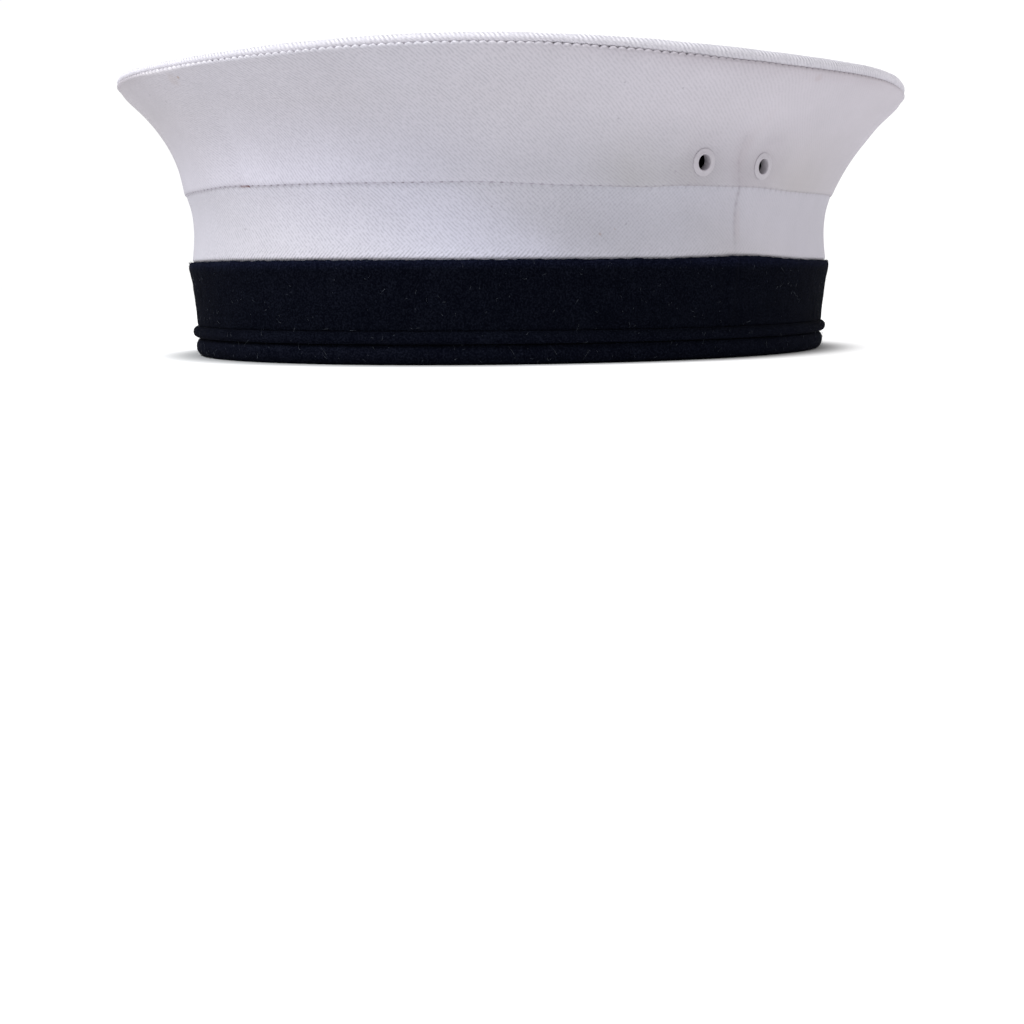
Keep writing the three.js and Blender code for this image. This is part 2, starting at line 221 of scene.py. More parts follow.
# Turns a map of distance round and distance up into one across and along the ribs
def slantMap(piece, ribAngle):
    layer = piece.data.uv_layers["cloth"]
    flat = np.empty(len(layer.data) * 2, np.float32)
    layer.data.foreach_get("uv", flat)
    flat = flat.reshape(-1, 2)
    sine, cosine = math.sin(math.radians(ribAngle)), math.cos(math.radians(ribAngle))
    turned = np.stack([flat[:, 0] * sine + flat[:, 1] * cosine, flat[:, 0] * cosine - flat[:, 1] * sine], 1)
    layer.data.foreach_set("uv", turned.ravel())


def setMark(piece, name, values):
    mark = piece.data.attributes.new(name, "FLOAT", "POINT")
    mark.data.foreach_set("value", np.asarray(values, np.float32))


def finishPiece(piece, material, slot, *nodes):
    piece.data.materials.clear()
    piece.data.materials.append(material)
    choose(piece)
    bpy.ops.object.shade_smooth_by_angle(angle=math.radians(60))
    if nodes:
        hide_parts(*nodes)
    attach(piece, "root")


# An oval wall, pulled up ring by ring from a circle. A ring is (half width, half length, height).
def ovalRings(name, steps, rings):
    clearSelection()
    bpy.ops.mesh.primitive_circle_add(vertices=steps, radius=1, calc_uvs=False)
    piece = bpy.context.object
    piece.name = name
    bpy.ops.object.mode_set(mode="EDIT")
    bpy.ops.mesh.select_all(action="SELECT")
    wide, long, height = rings[0]
    bpy.ops.transform.resize(value=(wide, long, 1), center_override=(0, 0, 0))
    bpy.ops.transform.translate(value=(0, 0, height))
    for (wide, long, height), (nextWide, nextLong, nextHeight) in zip(rings, rings[1:]):
        rise = {"value": (0, 0, nextHeight - height)}
        bpy.ops.mesh.extrude_region_move(TRANSFORM_OT_translate=rise)
        grow = (nextWide / wide, nextLong / long, 1)
        bpy.ops.transform.resize(value=grow, center_override=(0, 0, nextHeight))
    bpy.ops.object.mode_set(mode="OBJECT")
    return piece


# Turn of every point of such a wall, and the number of its ring
def ringPlaces(piece, steps, rings):
    points = readPoints(piece)
    ring = np.arange(len(points)) // steps
    sizes = np.array(rings)[ring]
    turn = np.degrees(np.arctan2(points[:, 0] / sizes[:, 0], -points[:, 1] / sizes[:, 1])) % 360
    return points, ring, turn


# Lays the cloth map round an oval wall, merges its last ring into the first and turns its faces out
def closeRings(piece, steps, rings, turn, ring, around, ribAngle):
    section = np.array(rings)[:, ::2]
    along = np.concatenate([[0], np.cumsum(np.linalg.norm(np.diff(section, axis=0), axis=1))])
    mapCloth(piece, turn / 360 * around, along[ring], wrap=around)
    slantMap(piece, ribAngle)
    closeMesh(piece)


def outward(turn):
    return np.stack([np.sin(np.radians(turn)), -np.cos(np.radians(turn)), np.zeros(len(turn))], 1)


# Navy head band, bead and hem
navy = {
    "steps": 1120,
    "bandRows": [(0.42, 0.85), (0.56, 0.68), (0.69, 0.51), (0.8, 0.33), (0.9, 0.06), (0.96, 0)],
    "edgeRows": [(0.3, 0.3), (1, 0), (1.6, 0.4)],
    "bandSpans": [5, 3, 3, 3, 3, 3, 3, 3, 3, 2, 1, 1, 1, 1, 1, 2, 2],
    "hemRows": [(0, 0.5), (0.05, 0.74), (0.2, 0.92), (0.46, 1), (0.9, 1), (1, 0.9), (1, 0.08),
                (0.93, 0), (0.55, 0), (0.25, 0.07), (0.06, 0.27)],
    "hemSpans": [3, 3, 3, 3, 2, 2, 2, 3, 3, 3, 3],
    "beadSides": 16,
    "lap": (87.9, 89.9),
    "lapRamp": 0.3,
    "lapRise": 0.34 * mm,
    "snug": 0.16 * mm,
    "feltScale": 420,
    "feltDepth": 0.16 * mm,
    "edgeWobble": 0.22 * mm,
    "edgeShare": 0.93,  # of the band's height, above which its edge wobbles
    "wobbles": [(0.7, 300, 5), (1, 900, 9)],  # strength, scale and seed of each noise
    "ribAngle": 45,
}


def bandOutside():
    rows = [(-size["bandTaper"], size["bandFoot"] - navy["snug"])]
    return rows + [(-inset * size["bandTaper"], up * size["bandHeight"]) for up, inset in navy["bandRows"]]


def bandRings(section):
    return [(size["bandWide"] + out, size["bandLong"] + out, height) for out, height in section]


def navyRings(name, section):
    rings = bandRings(section)
    piece = ovalRings(name, navy["steps"], rings)
    return piece, rings, *ringPlaces(piece, navy["steps"], rings)


# Moves points in and out of a navy wall by a soft noise
def feltPoints(points, turn, seed):
    depth = smoothNoise(points, navy["feltScale"], seed) * navy["feltDepth"]
    return points + outward(turn) * depth[:, None]


def finishNavy(piece, rings, points, ring, turn, node, material):
    writePoints(piece, points)
    around = math.pi * (size["bandWide"] + size["bandLong"])
    closeRings(piece, navy["steps"], rings, turn, ring, around, navy["ribAngle"])
    finishPiece(piece, material, "navy_wool", node)


def makeHeadBand(material):
    outside = bandOutside()
    drop = size["bandHeight"] - outside[-1][1]
    edge = [(-i * size["bandEdge"], size["bandHeight"] - b * drop) for i, b in navy["edgeRows"]]
    inside = [(out - size["bandWall"], height) for out, height in reversed(outside)]
    rows = smoothRows(outside + edge + inside, navy["bandSpans"], closed=True)
    piece, rings, points, ring, turn = navyRings("head_band_cloth", list(rows) + [rows[0]])
    share = np.clip((points[:, 2] - size["bandFoot"]) / (size["bandHeight"] - size["bandFoot"]), 0, 1)
    wobble = sum(strength * smoothNoise(points, scale, seed) for strength, scale, seed in navy["wobbles"])
    points[:, 2] += share * (bandTop(turn) - size["bandHeight"])
    atEdge = np.clip((share - navy["edgeShare"]) / (1 - navy["edgeShare"]), 0, 1)
    points[:, 2] += navy["edgeWobble"] * wobble * atEdge
    points = feltPoints(points, turn, 3)
    start, end = navy["lap"]
    lapped = np.clip(np.minimum(turn - start, end - turn) / navy["lapRamp"], 0, 1) * (share > 0)
    points[:, :2] *= (1 + lapped * navy["lapRise"] / size["bandWide"])[:, None]
    finishNavy(piece, rings, points, ring, turn, "head_band", material)


def makeBead(material):
    sides, radius = navy["beadSides"], size["beadRadius"] + navy["snug"]
    middle = size["beadRadius"] - size["bandTaper"] - size["bandWall"]
    angles = [2 * math.pi * i / sides for i in range(sides)] + [0]
    section = [(middle + radius * math.cos(a), size["beadHeight"] + radius * math.sin(a)) for a in angles]
    piece, rings, points, ring, turn = navyRings("band_bead_cord", section)
    finishNavy(piece, rings, feltPoints(points, turn, 17), ring, turn, "band_bead", material)


def makeHem(material):
    outside = size["hemProud"] - size["bandTaper"]
    section = [(outside - inset * size["hemWall"], up * size["hemHeight"]) for inset, up in navy["hemRows"]]
    rows = smoothRows(section, navy["hemSpans"], closed=True)
    piece, rings, points, ring, turn = navyRings("band_hem_roll", list(rows) + [rows[0]])
    points = feltPoints(points, turn, 29)
    points[:, 2] = np.maximum(points[:, 2], 0)
    finishNavy(piece, rings, points, ring, turn, "band_hem", material)


# A piece of cloth laid over a grid of places, whose rows run up it, with its cloth map and its marks
def layCloth(name, points, across, along, ribAngle, marks):
    shape = points.shape[:2]
    clearSelection()
    bpy.ops.mesh.primitive_grid_add(
        x_subdivisions=shape[1] - 1, y_subdivisions=shape[0] - 1, size=1, calc_uvs=False
    )
    piece = bpy.context.object
    piece.name = name
    flat = readPoints(piece)
    at = tuple(np.rint((flat[:, axis] + 0.5) * (shape[1 - axis] - 1)).astype(int) for axis in (1, 0))
    writePoints(piece, points[at])
    mapCloth(piece, np.broadcast_to(across, shape)[at], along[at])
    slantMap(piece, ribAngle)
    for mark, values in marks.items():
        setMark(piece, mark, np.broadcast_to(values, shape)[at])
    return piece


# The way out of the cloth at each point of a laid grid, whose columns run on towards the wearer's left
def gridNormals(points):
    up = np.gradient(points, axis=0)
    on = np.gradient(points, axis=1)
    normals = np.cross(on, up)
    return normals / np.maximum(np.linalg.norm(normals, axis=2, keepdims=True), 1e-12)


def distanceUp(points):
    steps = np.linalg.norm(np.diff(points, axis=0), axis=2)
    return np.concatenate([np.zeros((1, points.shape[1])), np.cumsum(steps, axis=0)])


# White side band
sideBand = {
    "stitches": 116,  # in each half
    "perStitch": 6,
    "tuckedUps": [0.42, 0.75, 0.96],
    "waistRows": [(0.03, 0.68), (0.12, 0.74), (0.26, 0.9), (0.5, 1), (0.76, 0.72), (1, 0)],
    "perSpan": [2, 1, 2, 1, 2, 3, 4, 4, 5, 8],
    "joins": (89.7, 270.3),
    "joinGap": -0.01 * mm,
    "seamClose": 0.06 * mm,
    "pinchDepth": 0.12 * mm,
    "pinchReach": 0.8 * mm,
    "joinDepth": 0.05 * mm,
    "joinReach": 0.55 * mm,
    "joinPitch": 2.6 * mm,
    "softDepth": 0.12 * mm,
    "softScale": 45,
    "footFade": 6 * mm,
    "paintedFootHighlight": 0.26,
    "ribAngle": 45,
}


def ovalPoint(wide, long, height, turn):
    return np.stack([wide * np.sin(np.radians(turn)), -long * np.cos(np.radians(turn)), height], -1)


def sideRows(turn):
    top = bandTop(turn)
    against = np.array(bandOutside())
    foot = size["hemHeight"] + size["gap"]
    heights = [np.full_like(turn, foot)] + [up * top for up in sideBand["tuckedUps"]]
    rows = []
    for height in heights:
        level = np.clip(height * size["bandHeight"] / top, size["bandFoot"], None)
        out = np.interp(level, against[:, 1], against[:, 0]) - size["bandWall"] - size["gap"]
        rows.append((out, height))
    rows.append((np.full_like(turn, -size["bandWall"] - size["gap"] / 2), top))
    seen = seamTop(turn) - size["gap"] / 2 + sideBand["seamClose"] - top
    for up, inset in sideBand["waistRows"]:
        rows.append((np.full_like(turn, -inset * size["waistDepth"]), top + up * seen))
    return np.array([
        ovalPoint(size["bandWide"] + out, size["bandLong"] + out, height, turn) for out, height in rows
    ])


def makeSideBand(name, node, fromTurn, toTurn, seed, material):
    columns = sideBand["stitches"] * sideBand["perStitch"]
    halfGap = math.degrees(sideBand["joinGap"] / size["bandWide"])
    turn = np.linspace(fromTurn + halfGap, toTurn - halfGap, columns + 1)
    points = smoothRows(sideRows(turn), sideBand["perSpan"])
    up = distanceUp(points)
    below = up[-1] - up
    stitch = np.arange(columns + 1) / sideBand["perStitch"]
    sewn = pinch(stitch, 0.14) * stitchStrength(stitch, seed)
    fromJoin = np.radians(np.minimum(turn - turn[0], turn[-1] - turn)) * size["bandWide"]
    join = bell(fromJoin, sideBand["joinReach"])
    soft = smoothNoise(points.reshape(-1, 3), sideBand["softScale"], 31).reshape(up.shape)
    shown = np.clip((points[:, :, 2] - bandTop(turn)) / sideBand["footFade"], 0, 1)
    depth = sideBand["pinchDepth"] * sewn * bell(below, sideBand["pinchReach"])
    depth += (sideBand["joinDepth"] * join - sideBand["softDepth"] * soft) * shown
    points = points - gridNormals(points) * depth[:, :, None]
    above = np.clip(points[:, :, 2] - bandTop(turn), 0, None)
    joinHoles = 0.06 + 0.4 * pinch(up / sideBand["joinPitch"], 0.17)
    leaning = turn - 10 + 15 * above / (17 * mm)  # the painted light and shade of the band lean a little as they rise
    marks = {
        # Dark stitches, with a faint painted crease line along the join
        "stitchesAndCreaseShade": 0.8 * sewn * bell(below - 0.2 * mm, 0.3 * mm) + join * joinHoles * shown,
        # Painted highlight along the foot of the band
        "paintedHighlight": sideBand["paintedFootHighlight"] * (np.exp(-above / (4 * mm)) + np.exp(-above / (0.7 * mm))),
        # Painted light and shade by turn
        "pale": atTurn(bandPaintedLightRows, leaning),
        "warm": atTurn(bandWarmRows, turn),
        # Grime and painted shade at the join and along the foot
        "grimeAndShade": 0.3 * join * shown + 0.12 * np.exp(-above / (1.2 * mm)),
        "cross": np.maximum(np.clip(1.2 - above / (4.6 * mm), 0, 1), atTurn(crossRows, turn)),
        "weave": atTurn(weaveRows, turn),
    }
    around = np.radians(turn) * (size["bandWide"] + size["bandLong"]) / 2
    piece = layCloth(name, points, around, up, sideBand["ribAngle"], marks)
    thicken(piece, size["sideWall"])
    finishPiece(piece, material, "white_twill", node)


# Flaring crown wall, in four quarters
flare = {
    "stitches": 81,  # along the rim of each quarter
    "perStitch": 5,
    "footStitches": 58,
    "rows": [(0.1, 0.028, 0.059), (0.25, 0.085, 0.179), (0.42, 0.206, 0.337), (0.58, 0.378, 0.512),
             (0.73, 0.595, 0.685), (0.885, 0.878, 0.915)],
    "rollRows": [(0.66, 0.75), (0.36, 0.05), (0.12, 0.12), (0, 0.5)],
    "ribTurn": math.radians(15),
    "perSpan": [2, 3, 4, 4, 4, 4, 4, 4, 4, 4, 3],
    "seamGap": -0.01 * mm,
    "seamClose": 0.27 * mm,
    "tuck": 0.62 * mm,
    "pinchDepth": 0.2 * mm,
    "pinchDrop": 0.12 * mm,
    "puff": 0.14 * mm,
    "pinchReach": 1.0 * mm,
    "footPinch": 0.1 * mm,
    "footReach": 0.7 * mm,
    "seamDepth": 0.1 * mm,
    "seamReach": 0.5 * mm,
    "seamPitch": 2.6 * mm,
    "softDepth": 0.2 * mm,
    "softScale": 38,
    "calmReach": 5 * mm,
    "seamFade": {"front": 4 * mm, "left": 19 * mm, "back": 30 * mm, "right": 19 * mm},
}
# Tables by turn. Strength of the pinches under the rim, from the front to either side
rimGathers = [(0, 0.35), (8, 0.4), (14, 1), (70, 1), (80, 0.45), (130, 0.3), (180, 0.6)]
# Millimetres by which the rim's cord reaches lower, by signed turn
droopRows = [(-180, 0.3), (-60, 0), (-30, -0.2), (-5, -0.5), (10, -0.25), (22, 0), (55, 0), (76, 0.95),
             (125, 1), (140, 0.4), (180, 0.3)]
# How dark the stitches of the foot and the painted crease shade along it show, by signed turn
footRows = [(-180, 0.8), (-60, 0.8), (0, 1.1), (60, 1), (72, 0.6), (90, 0.4), (180, 0.8)]
# How far the edge is tucked up behind the cord, beyond the usual
snugRows = [(-180, 0), (-50, 0), (-30, 0.12), (6, 0.12), (14, 0), (60, 0), (76, 0.22), (135, 0.22),
            (150, 0), (180, 0)]
# Dark needle holes where the edge lies flat
holeRows = [(-180, 0), (52, 0), (72, 0.9), (104, 0.8), (118, 0.2), (180, 0)]
# Grime and painted shade under the rim
grimeAndShadeRows = [(-180, 0.3), (-20, 0.3), (6, 0.15), (14, 0), (45, 0), (62, 0.5), (74, 0.75), (104, 0.75),
             (118, 0.3), (130, 0.15), (180, 0.3)]
# Painted light and shade: paler white, or greyer where it is negative, on the flare's foot, its rim and the
# side band
paintedLightRows = [(-180, 0), (-40, 0), (-8, 0.35), (6, 0.8), (24, 0.8), (40, 0.35), (50, -0.1), (60, -0.35),
            (69, -1.1), (80, -0.8), (88, -0.1), (94, 0), (106, -0.4), (120, 0), (180, 0)]
rimPaintedLightRows = [(-180, 0), (-30, -0.3), (30, -0.2), (58, 0.1), (74, 0.55), (95, 0.8), (130, 0.8),
               (150, 0.3), (180, 0)]
bandPaintedLightRows = [(-180, 0), (-40, -0.2), (0, -0.25), (12, 0), (26, 0.4), (38, 0.6), (47, 0.35),
                (54, -0.2), (60, -0.4), (80, -0.35), (90, 0), (100, 0.2), (180, 0)]
# Warmer white, or cooler where it is negative: the same three
warmRows = [(-180, 0.3), (-30, 0.1), (-10, 0.3), (8, 0.3), (18, 0.1), (36, -0.35), (55, -0.5),
            (66, -0.8), (76, -0.7), (84, -0.2), (92, 0.4), (104, 0.7), (180, 0.3)]
rimWarmRows = [(-180, 0.4), (-30, 0.5), (-8, 0.25), (6, 0), (38, -0.15), (50, 0.15), (62, 0.3),
               (73, 0.65), (82, 0.85), (92, 1), (120, 1.1), (180, 0.4)]
bandWarmRows = [(-180, 0), (-10, -0.2), (10, -0.15), (28, -0.25), (40, -0.6), (66, -0.9), (78, -0.75),
                (88, -0.2), (98, 0.1), (180, 0)]
# How far the ribs of the side band show the other way
crossRows = [(-180, 0), (50, 0), (58, 0.5), (80, 0.55), (92, 0), (180, 0)]
# How plain the weave shows, and how strong the painted highlight on the rolled edge under the rim is, by
# signed turn
weaveRows = [(-180, 0.6), (-100, 0.6), (-60, 1), (-42, 0.35), (-16, 0.35), (-6, 0.8), (20, 1),
             (50, 0.88), (66, 0.64), (84, 0.48), (94, 0.25), (130, 0.12), (180, 0.6)]
paintedHighlightRows = [(-180, 0.3), (-60, 0.4), (-12, 0.6), (0, 1), (12, 1), (45, 1), (62, 0.7), (75, 0.35),
             (85, 0.12), (180, 0.12)]


def signedTurn(turn):
    return (np.asarray(turn, float) + 180) % 360 - 180


def atTurn(rows, turn):
    angles, values = zip(*rows)
    return np.interp(signedTurn(turn), angles, values)


# Seams between the quarters: their turn at the foot, the middle and the top
seamLines = {
    "front": (4, 4, 0.5),
    "left": (89.5, 86.4, 88.5),
    "back": (180, 180, 180),
    "right": (270.5, 273.6, 271.5),
}
quarters = [
    {"name": "flare_front_left", "from": "front", "to": "left", "seed": 11, "ribAngle": 53},
    {"name": "flare_back_left", "from": "left", "to": "back", "seed": 12, "ribAngle": 44},
    {"name": "flare_back_right", "from": "back", "to": "right", "seed": 13, "ribAngle": 53},
    {"name": "flare_front_right", "from": "right", "to": "front", "seed": 14, "ribAngle": 44},
]
eyelets = [
    {"name": "eyelet_left_front", "turn": 80.6, "raise": 1.1 * mm, "quarter": "flare_front_left"},
    {"name": "eyelet_left_back", "turn": 92.8, "raise": 0.75 * mm, "quarter": "flare_back_left"},
    {"name": "eyelet_right_back", "turn": 267.2, "raise": 0.75 * mm, "quarter": "flare_back_right"},
    {"name": "eyelet_right_front", "turn": 279.4, "raise": 1.1 * mm, "quarter": "flare_front_right"},
]


def seamTurn(line, up):
    foot, middle, top = seamLines[line]
    bow = 4 * middle - 2 * (foot + top)
    return foot + (top - foot) * up + bow * up * (1 - up)


# Rows of the flare at each turn, as (travel towards the rim, distance out, height)
def flareRows(turn):
    foot = seamTop(turn) + size["gap"] / 2 - flare["seamClose"]
    top = rimTop(turn) - 2 * size["pipingRadius"] - size["gap"] + flare["tuck"]
    top = top + (atTurn(snugRows, turn) - atTurn(droopRows, turn)) * mm
    backShare = (1 - np.cos(np.radians(turn))) / 2
    zero = np.zeros_like(turn)
    rows = [(zero, zero - size["footFold"], foot), (zero, zero, foot + size["footFold"])]
    for up, front, back in flare["rows"]:
        rows.append((front + (back - front) * backShare, zero, foot + up * (top - foot)))
    for below, inset in flare["rollRows"]:
        rows.append((zero + 1, zero - inset * size["rollDepth"], top - below * size["rollHeight"]))
    return rows, foot, top


def flarePoint(travel, out, height, turn):
    start = size["flareOverhang"]
    wide = size["bandWide"] + start + travel * (size["rimWide"] - size["bandWide"] - start) + out
    long = size["bandLong"] + start + travel * (size["rimLong"] - size["bandLong"] - start) + out
    return ovalPoint(wide, long, height, turn)


# The bare form of a quarter, and the turn of each of its columns
def flareForm(quarter, share):
    first, last = quarter["from"], quarter["to"]
    wholeTurn = 360 if last == "front" else 0
    halfGap = math.degrees(flare["seamGap"] / size["bandWide"])
    turn = seamLines[first][0] * (1 - share) + (seamLines[last][0] + wholeTurn) * share
    rows, foot, top = flareRows(turn)
    laid = []
    for travel, out, height in rows:
        up = np.clip((height - foot) / (top - foot), 0, 1)
        start, end = seamTurn(first, up) + halfGap, seamTurn(last, up) + wholeTurn - halfGap
        laid.append(flarePoint(travel, out, height, start + (end - start) * share))
    return smoothRows(np.array(laid), flare["perSpan"]), turn


def makeFlare(quarter, material):
    share = np.linspace(0, 1, flare["stitches"] * flare["perStitch"] + 1)
    points, turn = flareForm(quarter, share)
    up = distanceUp(points)
    below = up[-1] - up
    steps = np.linalg.norm(np.diff(points, axis=1), axis=2)
    on = np.concatenate([np.zeros((len(points), 1)), np.cumsum(steps, axis=1)], axis=1)

    # Stitches: along the rim, along the foot and up the seams
    seed = quarter["seed"]
    stitch, footStitch = share * flare["stitches"], share * flare["footStitches"]
    gathers = eased(rimGathers, turn)
    sewn = pinch(stitch, 0.17) * stitchStrength(stitch, seed) * gathers
    footSewn = pinch(footStitch, 0.13) * stitchStrength(footStitch, seed + 50)
    fromSeam = np.minimum(on, on[:, -1:] - on)
    seam = bell(fromSeam, flare["seamReach"])
    seamStitch = up / flare["seamPitch"]
    seamSewn = seam * (0.75 + 0.5 * pinch(seamStitch, 0.2) * stitchStrength(seamStitch, seed + 90, 0))
    nearTop = bell(np.maximum(below - 0.5 * mm, 0), flare["pinchReach"])
    soft = smoothNoise(points.reshape(-1, 3), flare["softScale"], 11).reshape(up.shape)
    calm = np.clip(np.minimum(up, below) / flare["calmReach"], 0, 1)
    fade = np.where(share < 0.5, flare["seamFade"][quarter["from"]], flare["seamFade"][quarter["to"]])
    fading = np.clip((fade - up) / flare["calmReach"], 0, 1)
    depth = flare["pinchDepth"] * sewn * nearTop
    depth += flare["footPinch"] * footSewn * bell(up, flare["footReach"])
    depth += flare["seamDepth"] * seamSewn * calm * fading - flare["softDepth"] * soft * calm
    depth -= flare["puff"] * (1 - pinch(stitch, 0.3)) * nearTop * gathers
    points = points - gridNormals(points) * depth[:, :, None]
    points[:, :, 2] -= flare["pinchDrop"] * sewn * nearTop
    for eyelet in eyelets:
        points = pressFlat(points, eyelet)

    # Dark stitches, with painted crease shade along the top edge, along the foot and up the seams
    stitchesAndCreaseShade = 1.1 * sewn * bell(below - 0.25 * mm, 0.32 * mm) + 0.25 * bell(below, 0.2 * mm)
    footMarks = (1.25 * footSewn + 0.32) * atTurn(footRows, turn)
    stitchesAndCreaseShade += footMarks * bell(up - 0.28 * mm, 0.22 * mm)
    stitchesAndCreaseShade += atTurn(holeRows, turn) * pinch(stitch, 0.13) * bell(below - 0.35 * mm, 0.25 * mm)
    stitchesAndCreaseShade += 0.16 * seam * (0.3 + pinch(seamStitch, 0.2)) * fading
    # Painted highlight on the lip under the cord, between its stitches; at the front seam it sits lower and
    # spreads wider
    bulge = bell(signedTurn(turn), 8)
    lip = (0.35 + 0.3 * pinch(stitch, 0.3) + 0.5 * bulge) * mm
    paintedHighlight = bell(below - lip, 0.22 * mm * (1 + 2.4 * bulge)) * (1 - 0.85 * pinch(stitch, 0.18))
    paintedHighlight *= 0.55 + 0.45 * stitchStrength(stitch + 0.5, seed + 7, 0)
    # Grime and painted shade under the rim, along the seams, near the front and below the eyelets
    grimeAndShade = atTurn(grimeAndShadeRows, turn) * np.exp(-below / (2.6 * mm))
    grimeAndShade += 0.22 * bell(fromSeam, 3.5 * mm) * fading
    grimeAndShade += 0.2 * bell(signedTurn(turn) + 14, 18) * np.exp(-below / (12 * mm))
    for eyelet in eyelets:
        under = np.array(eyeletSeat(eyelet)[0]) - (0, 0, 3 * mm)
        grimeAndShade += 0.3 * bell(np.linalg.norm(points - under, axis=2), 10 * mm)
    low = np.clip(1.25 - up / (18 * mm), 0, 1)
    marks = {
        "stitchesAndCreaseShade": stitchesAndCreaseShade,
        "paintedHighlight": paintedHighlight * atTurn(paintedHighlightRows, turn),
        "grimeAndShade": grimeAndShade,
        # Painted light and shade, from the foot's rows below to the rim's rows above
        "pale": atTurn(paintedLightRows, turn) * low + atTurn(rimPaintedLightRows, turn) * (1 - low),
        "warm": atTurn(warmRows, turn) * low + atTurn(rimWarmRows, turn) * (1 - low),
        "weave": atTurn(weaveRows, turn),
    }

    # The cloth is cut as a sector, so its ribs turn a little from seam to seam
    arm = on[len(points) // 2, -1] / flare["ribTurn"]
    reach = arm + up - up[-1].mean() / 2
    across, along = reach * np.sin(share * flare["ribTurn"]), reach * np.cos(share * flare["ribTurn"]) - arm
    piece = layCloth(quarter["name"] + "_cloth", points, across, along, quarter["ribAngle"], marks)
    thicken(piece, size["flareWall"])
    for eyelet in eyelets:
        if eyelet["quarter"] == quarter["name"]:
            pierce(piece, eyelet)
    finishPiece(piece, material, "white_twill", quarter["name"])


# Cloth round an eyelet lies flat under its flange
def pressFlat(points, eyelet):
    point, normal, hollow = eyeletSeat(eyelet)
    away = points - np.array(point)
    high = away @ np.array(normal)
    reach = np.linalg.norm(away, axis=2)
    outer, inner = eyeletShape["pressReach"], eyeletShape["pressFlat"]
    share = np.clip((outer - reach) / (outer - inner), 0, 1)
    aboveSeam = (points[:, :, 2] - seamTop(eyelet["turn"])) / (3 * mm)
    share = share * share * (3 - 2 * share) * np.clip(aboveSeam, 0, 1)
    return points + ((eyeletShape["pressLevel"] - high) * share)[:, :, None] * np.array(normal)


# Where an eyelet sits: the flat that its flange bridges on the hollow flare
def eyeletSeat(eyelet):
    turn = eyelet["turn"]
    raised = size["eyeletUp"] + eyelet["raise"] / (size["crownHeight"] - size["seamHeight"])

    def at(where, up):
        where = np.array([float(where)])
        rows, foot, top = flareRows(where)
        top = top - flare["tuck"]
        height = foot + (top - foot) * up
        heights = np.array([r[2][0] for r in rows])
        travels = np.array([r[0][0] for r in rows])
        travel = np.interp(height[0], heights, travels)
        return Vector(flarePoint(np.array([travel]), np.zeros(1), height, where)[0])

    aside = math.degrees(size["flangeRadius"] / size["bandWide"])
    share = size["flangeRadius"] / (size["crownHeight"] - size["seamHeight"])
    above, under = at(turn, raised + share), at(turn, raised - share)
    on = at(turn + aside, raised) - at(turn - aside, raised)
    normal = on.cross(above - under).normalized()
    normal.z *= eyeletShape["upright"]
    normal.normalize()
    point = (above + under) / 2
    return point, normal, (point - at(turn, raised)).length


def placeOnSeat(piece, point, normal):
    choose(piece)
    piece.rotation_mode = "QUATERNION"
    piece.rotation_quaternion = Vector((0, 0, 1)).rotation_difference(normal)
    piece.location = point
    bpy.ops.object.transform_apply(location=True, rotation=True, scale=True)


def pierce(piece, eyelet):
    point, normal, hollow = eyeletSeat(eyelet)
    clearSelection()
    radius = size["tubeRadius"] + 0.05 * mm
    depth = 6 * size["flareWall"]
    bpy.ops.mesh.primitive_cylinder_add(vertices=48, radius=radius, depth=depth, calc_uvs=False)
    cutter = bpy.context.object
    placeOnSeat(cutter, point, normal)
    applyModifier(piece, "BOOLEAN", object=cutter, operation="DIFFERENCE", solver="EXACT")
    bpy.data.objects.remove(cutter)


# Painted metal eyelets
eyeletShape = {
    "steps": 64,
    # outline as (radius, height) in millimetres: flange from its rim to the rolled lip, then the tube
    "front": [(3.6, 0.1), (3.65, 0.2), (3.58, 0.32), (3.3, 0.38), (2.95, 0.4), (2.7, 0.43),
              (2.45, 0.52), (2.24, 0.53), (2.07, 0.42), (2, 0.2)],
    "upright": 0.35,
    "pressReach": 10 * mm,
    "pressFlat": 4 * mm,
    "pressLevel": 0.12 * mm,
}


def makeEyelet(eyelet, material):
    point, normal, hollow = eyeletSeat(eyelet)
    hole, tube, washer = (size[name] / mm for name in ("holeRadius", "tubeRadius", "washerRadius"))
    back = (-size["flareWall"] - size["gap"] - hollow) / mm
    end = back - size["flangeThick"] / mm
    outline = [tuple(p) for p in smoothRows(eyeletShape["front"], 2)]
    outline += [(hole, back), (hole + 0.05, end), (washer, end), (washer, back), (tube, back), (tube, 0.2)]
    rings = [(r * mm, r * mm, h * mm) for r, h in outline + [outline[0]]]
    piece = ovalRings(eyelet["name"] + "_enamel", eyeletShape["steps"], rings)
    closeMesh(piece, 1e-7)
    placeOnSeat(piece, point, normal)
    finishPiece(piece, material, "white_enamel", eyelet["name"])


# Corded piping round the rim
piping = {
    "steps": 3240,
    "sides": 20,
    "ribPitch": 1.15 * mm,
    "ribTurns": 4,
    "ribDepth": 0.06 * mm,
    "slack": 0.12 * mm,
    "ribAngle": 42,
}
# Strength of the painted highlight on the cord, by signed turn
pipingHighlightRows = [(-180, 0.8), (-60, 1), (-30, 1.2), (-5, 1.1), (12, 0.95), (45, 1.2), (80, 0.8),
              (130, 0.75), (180, 0.8)]


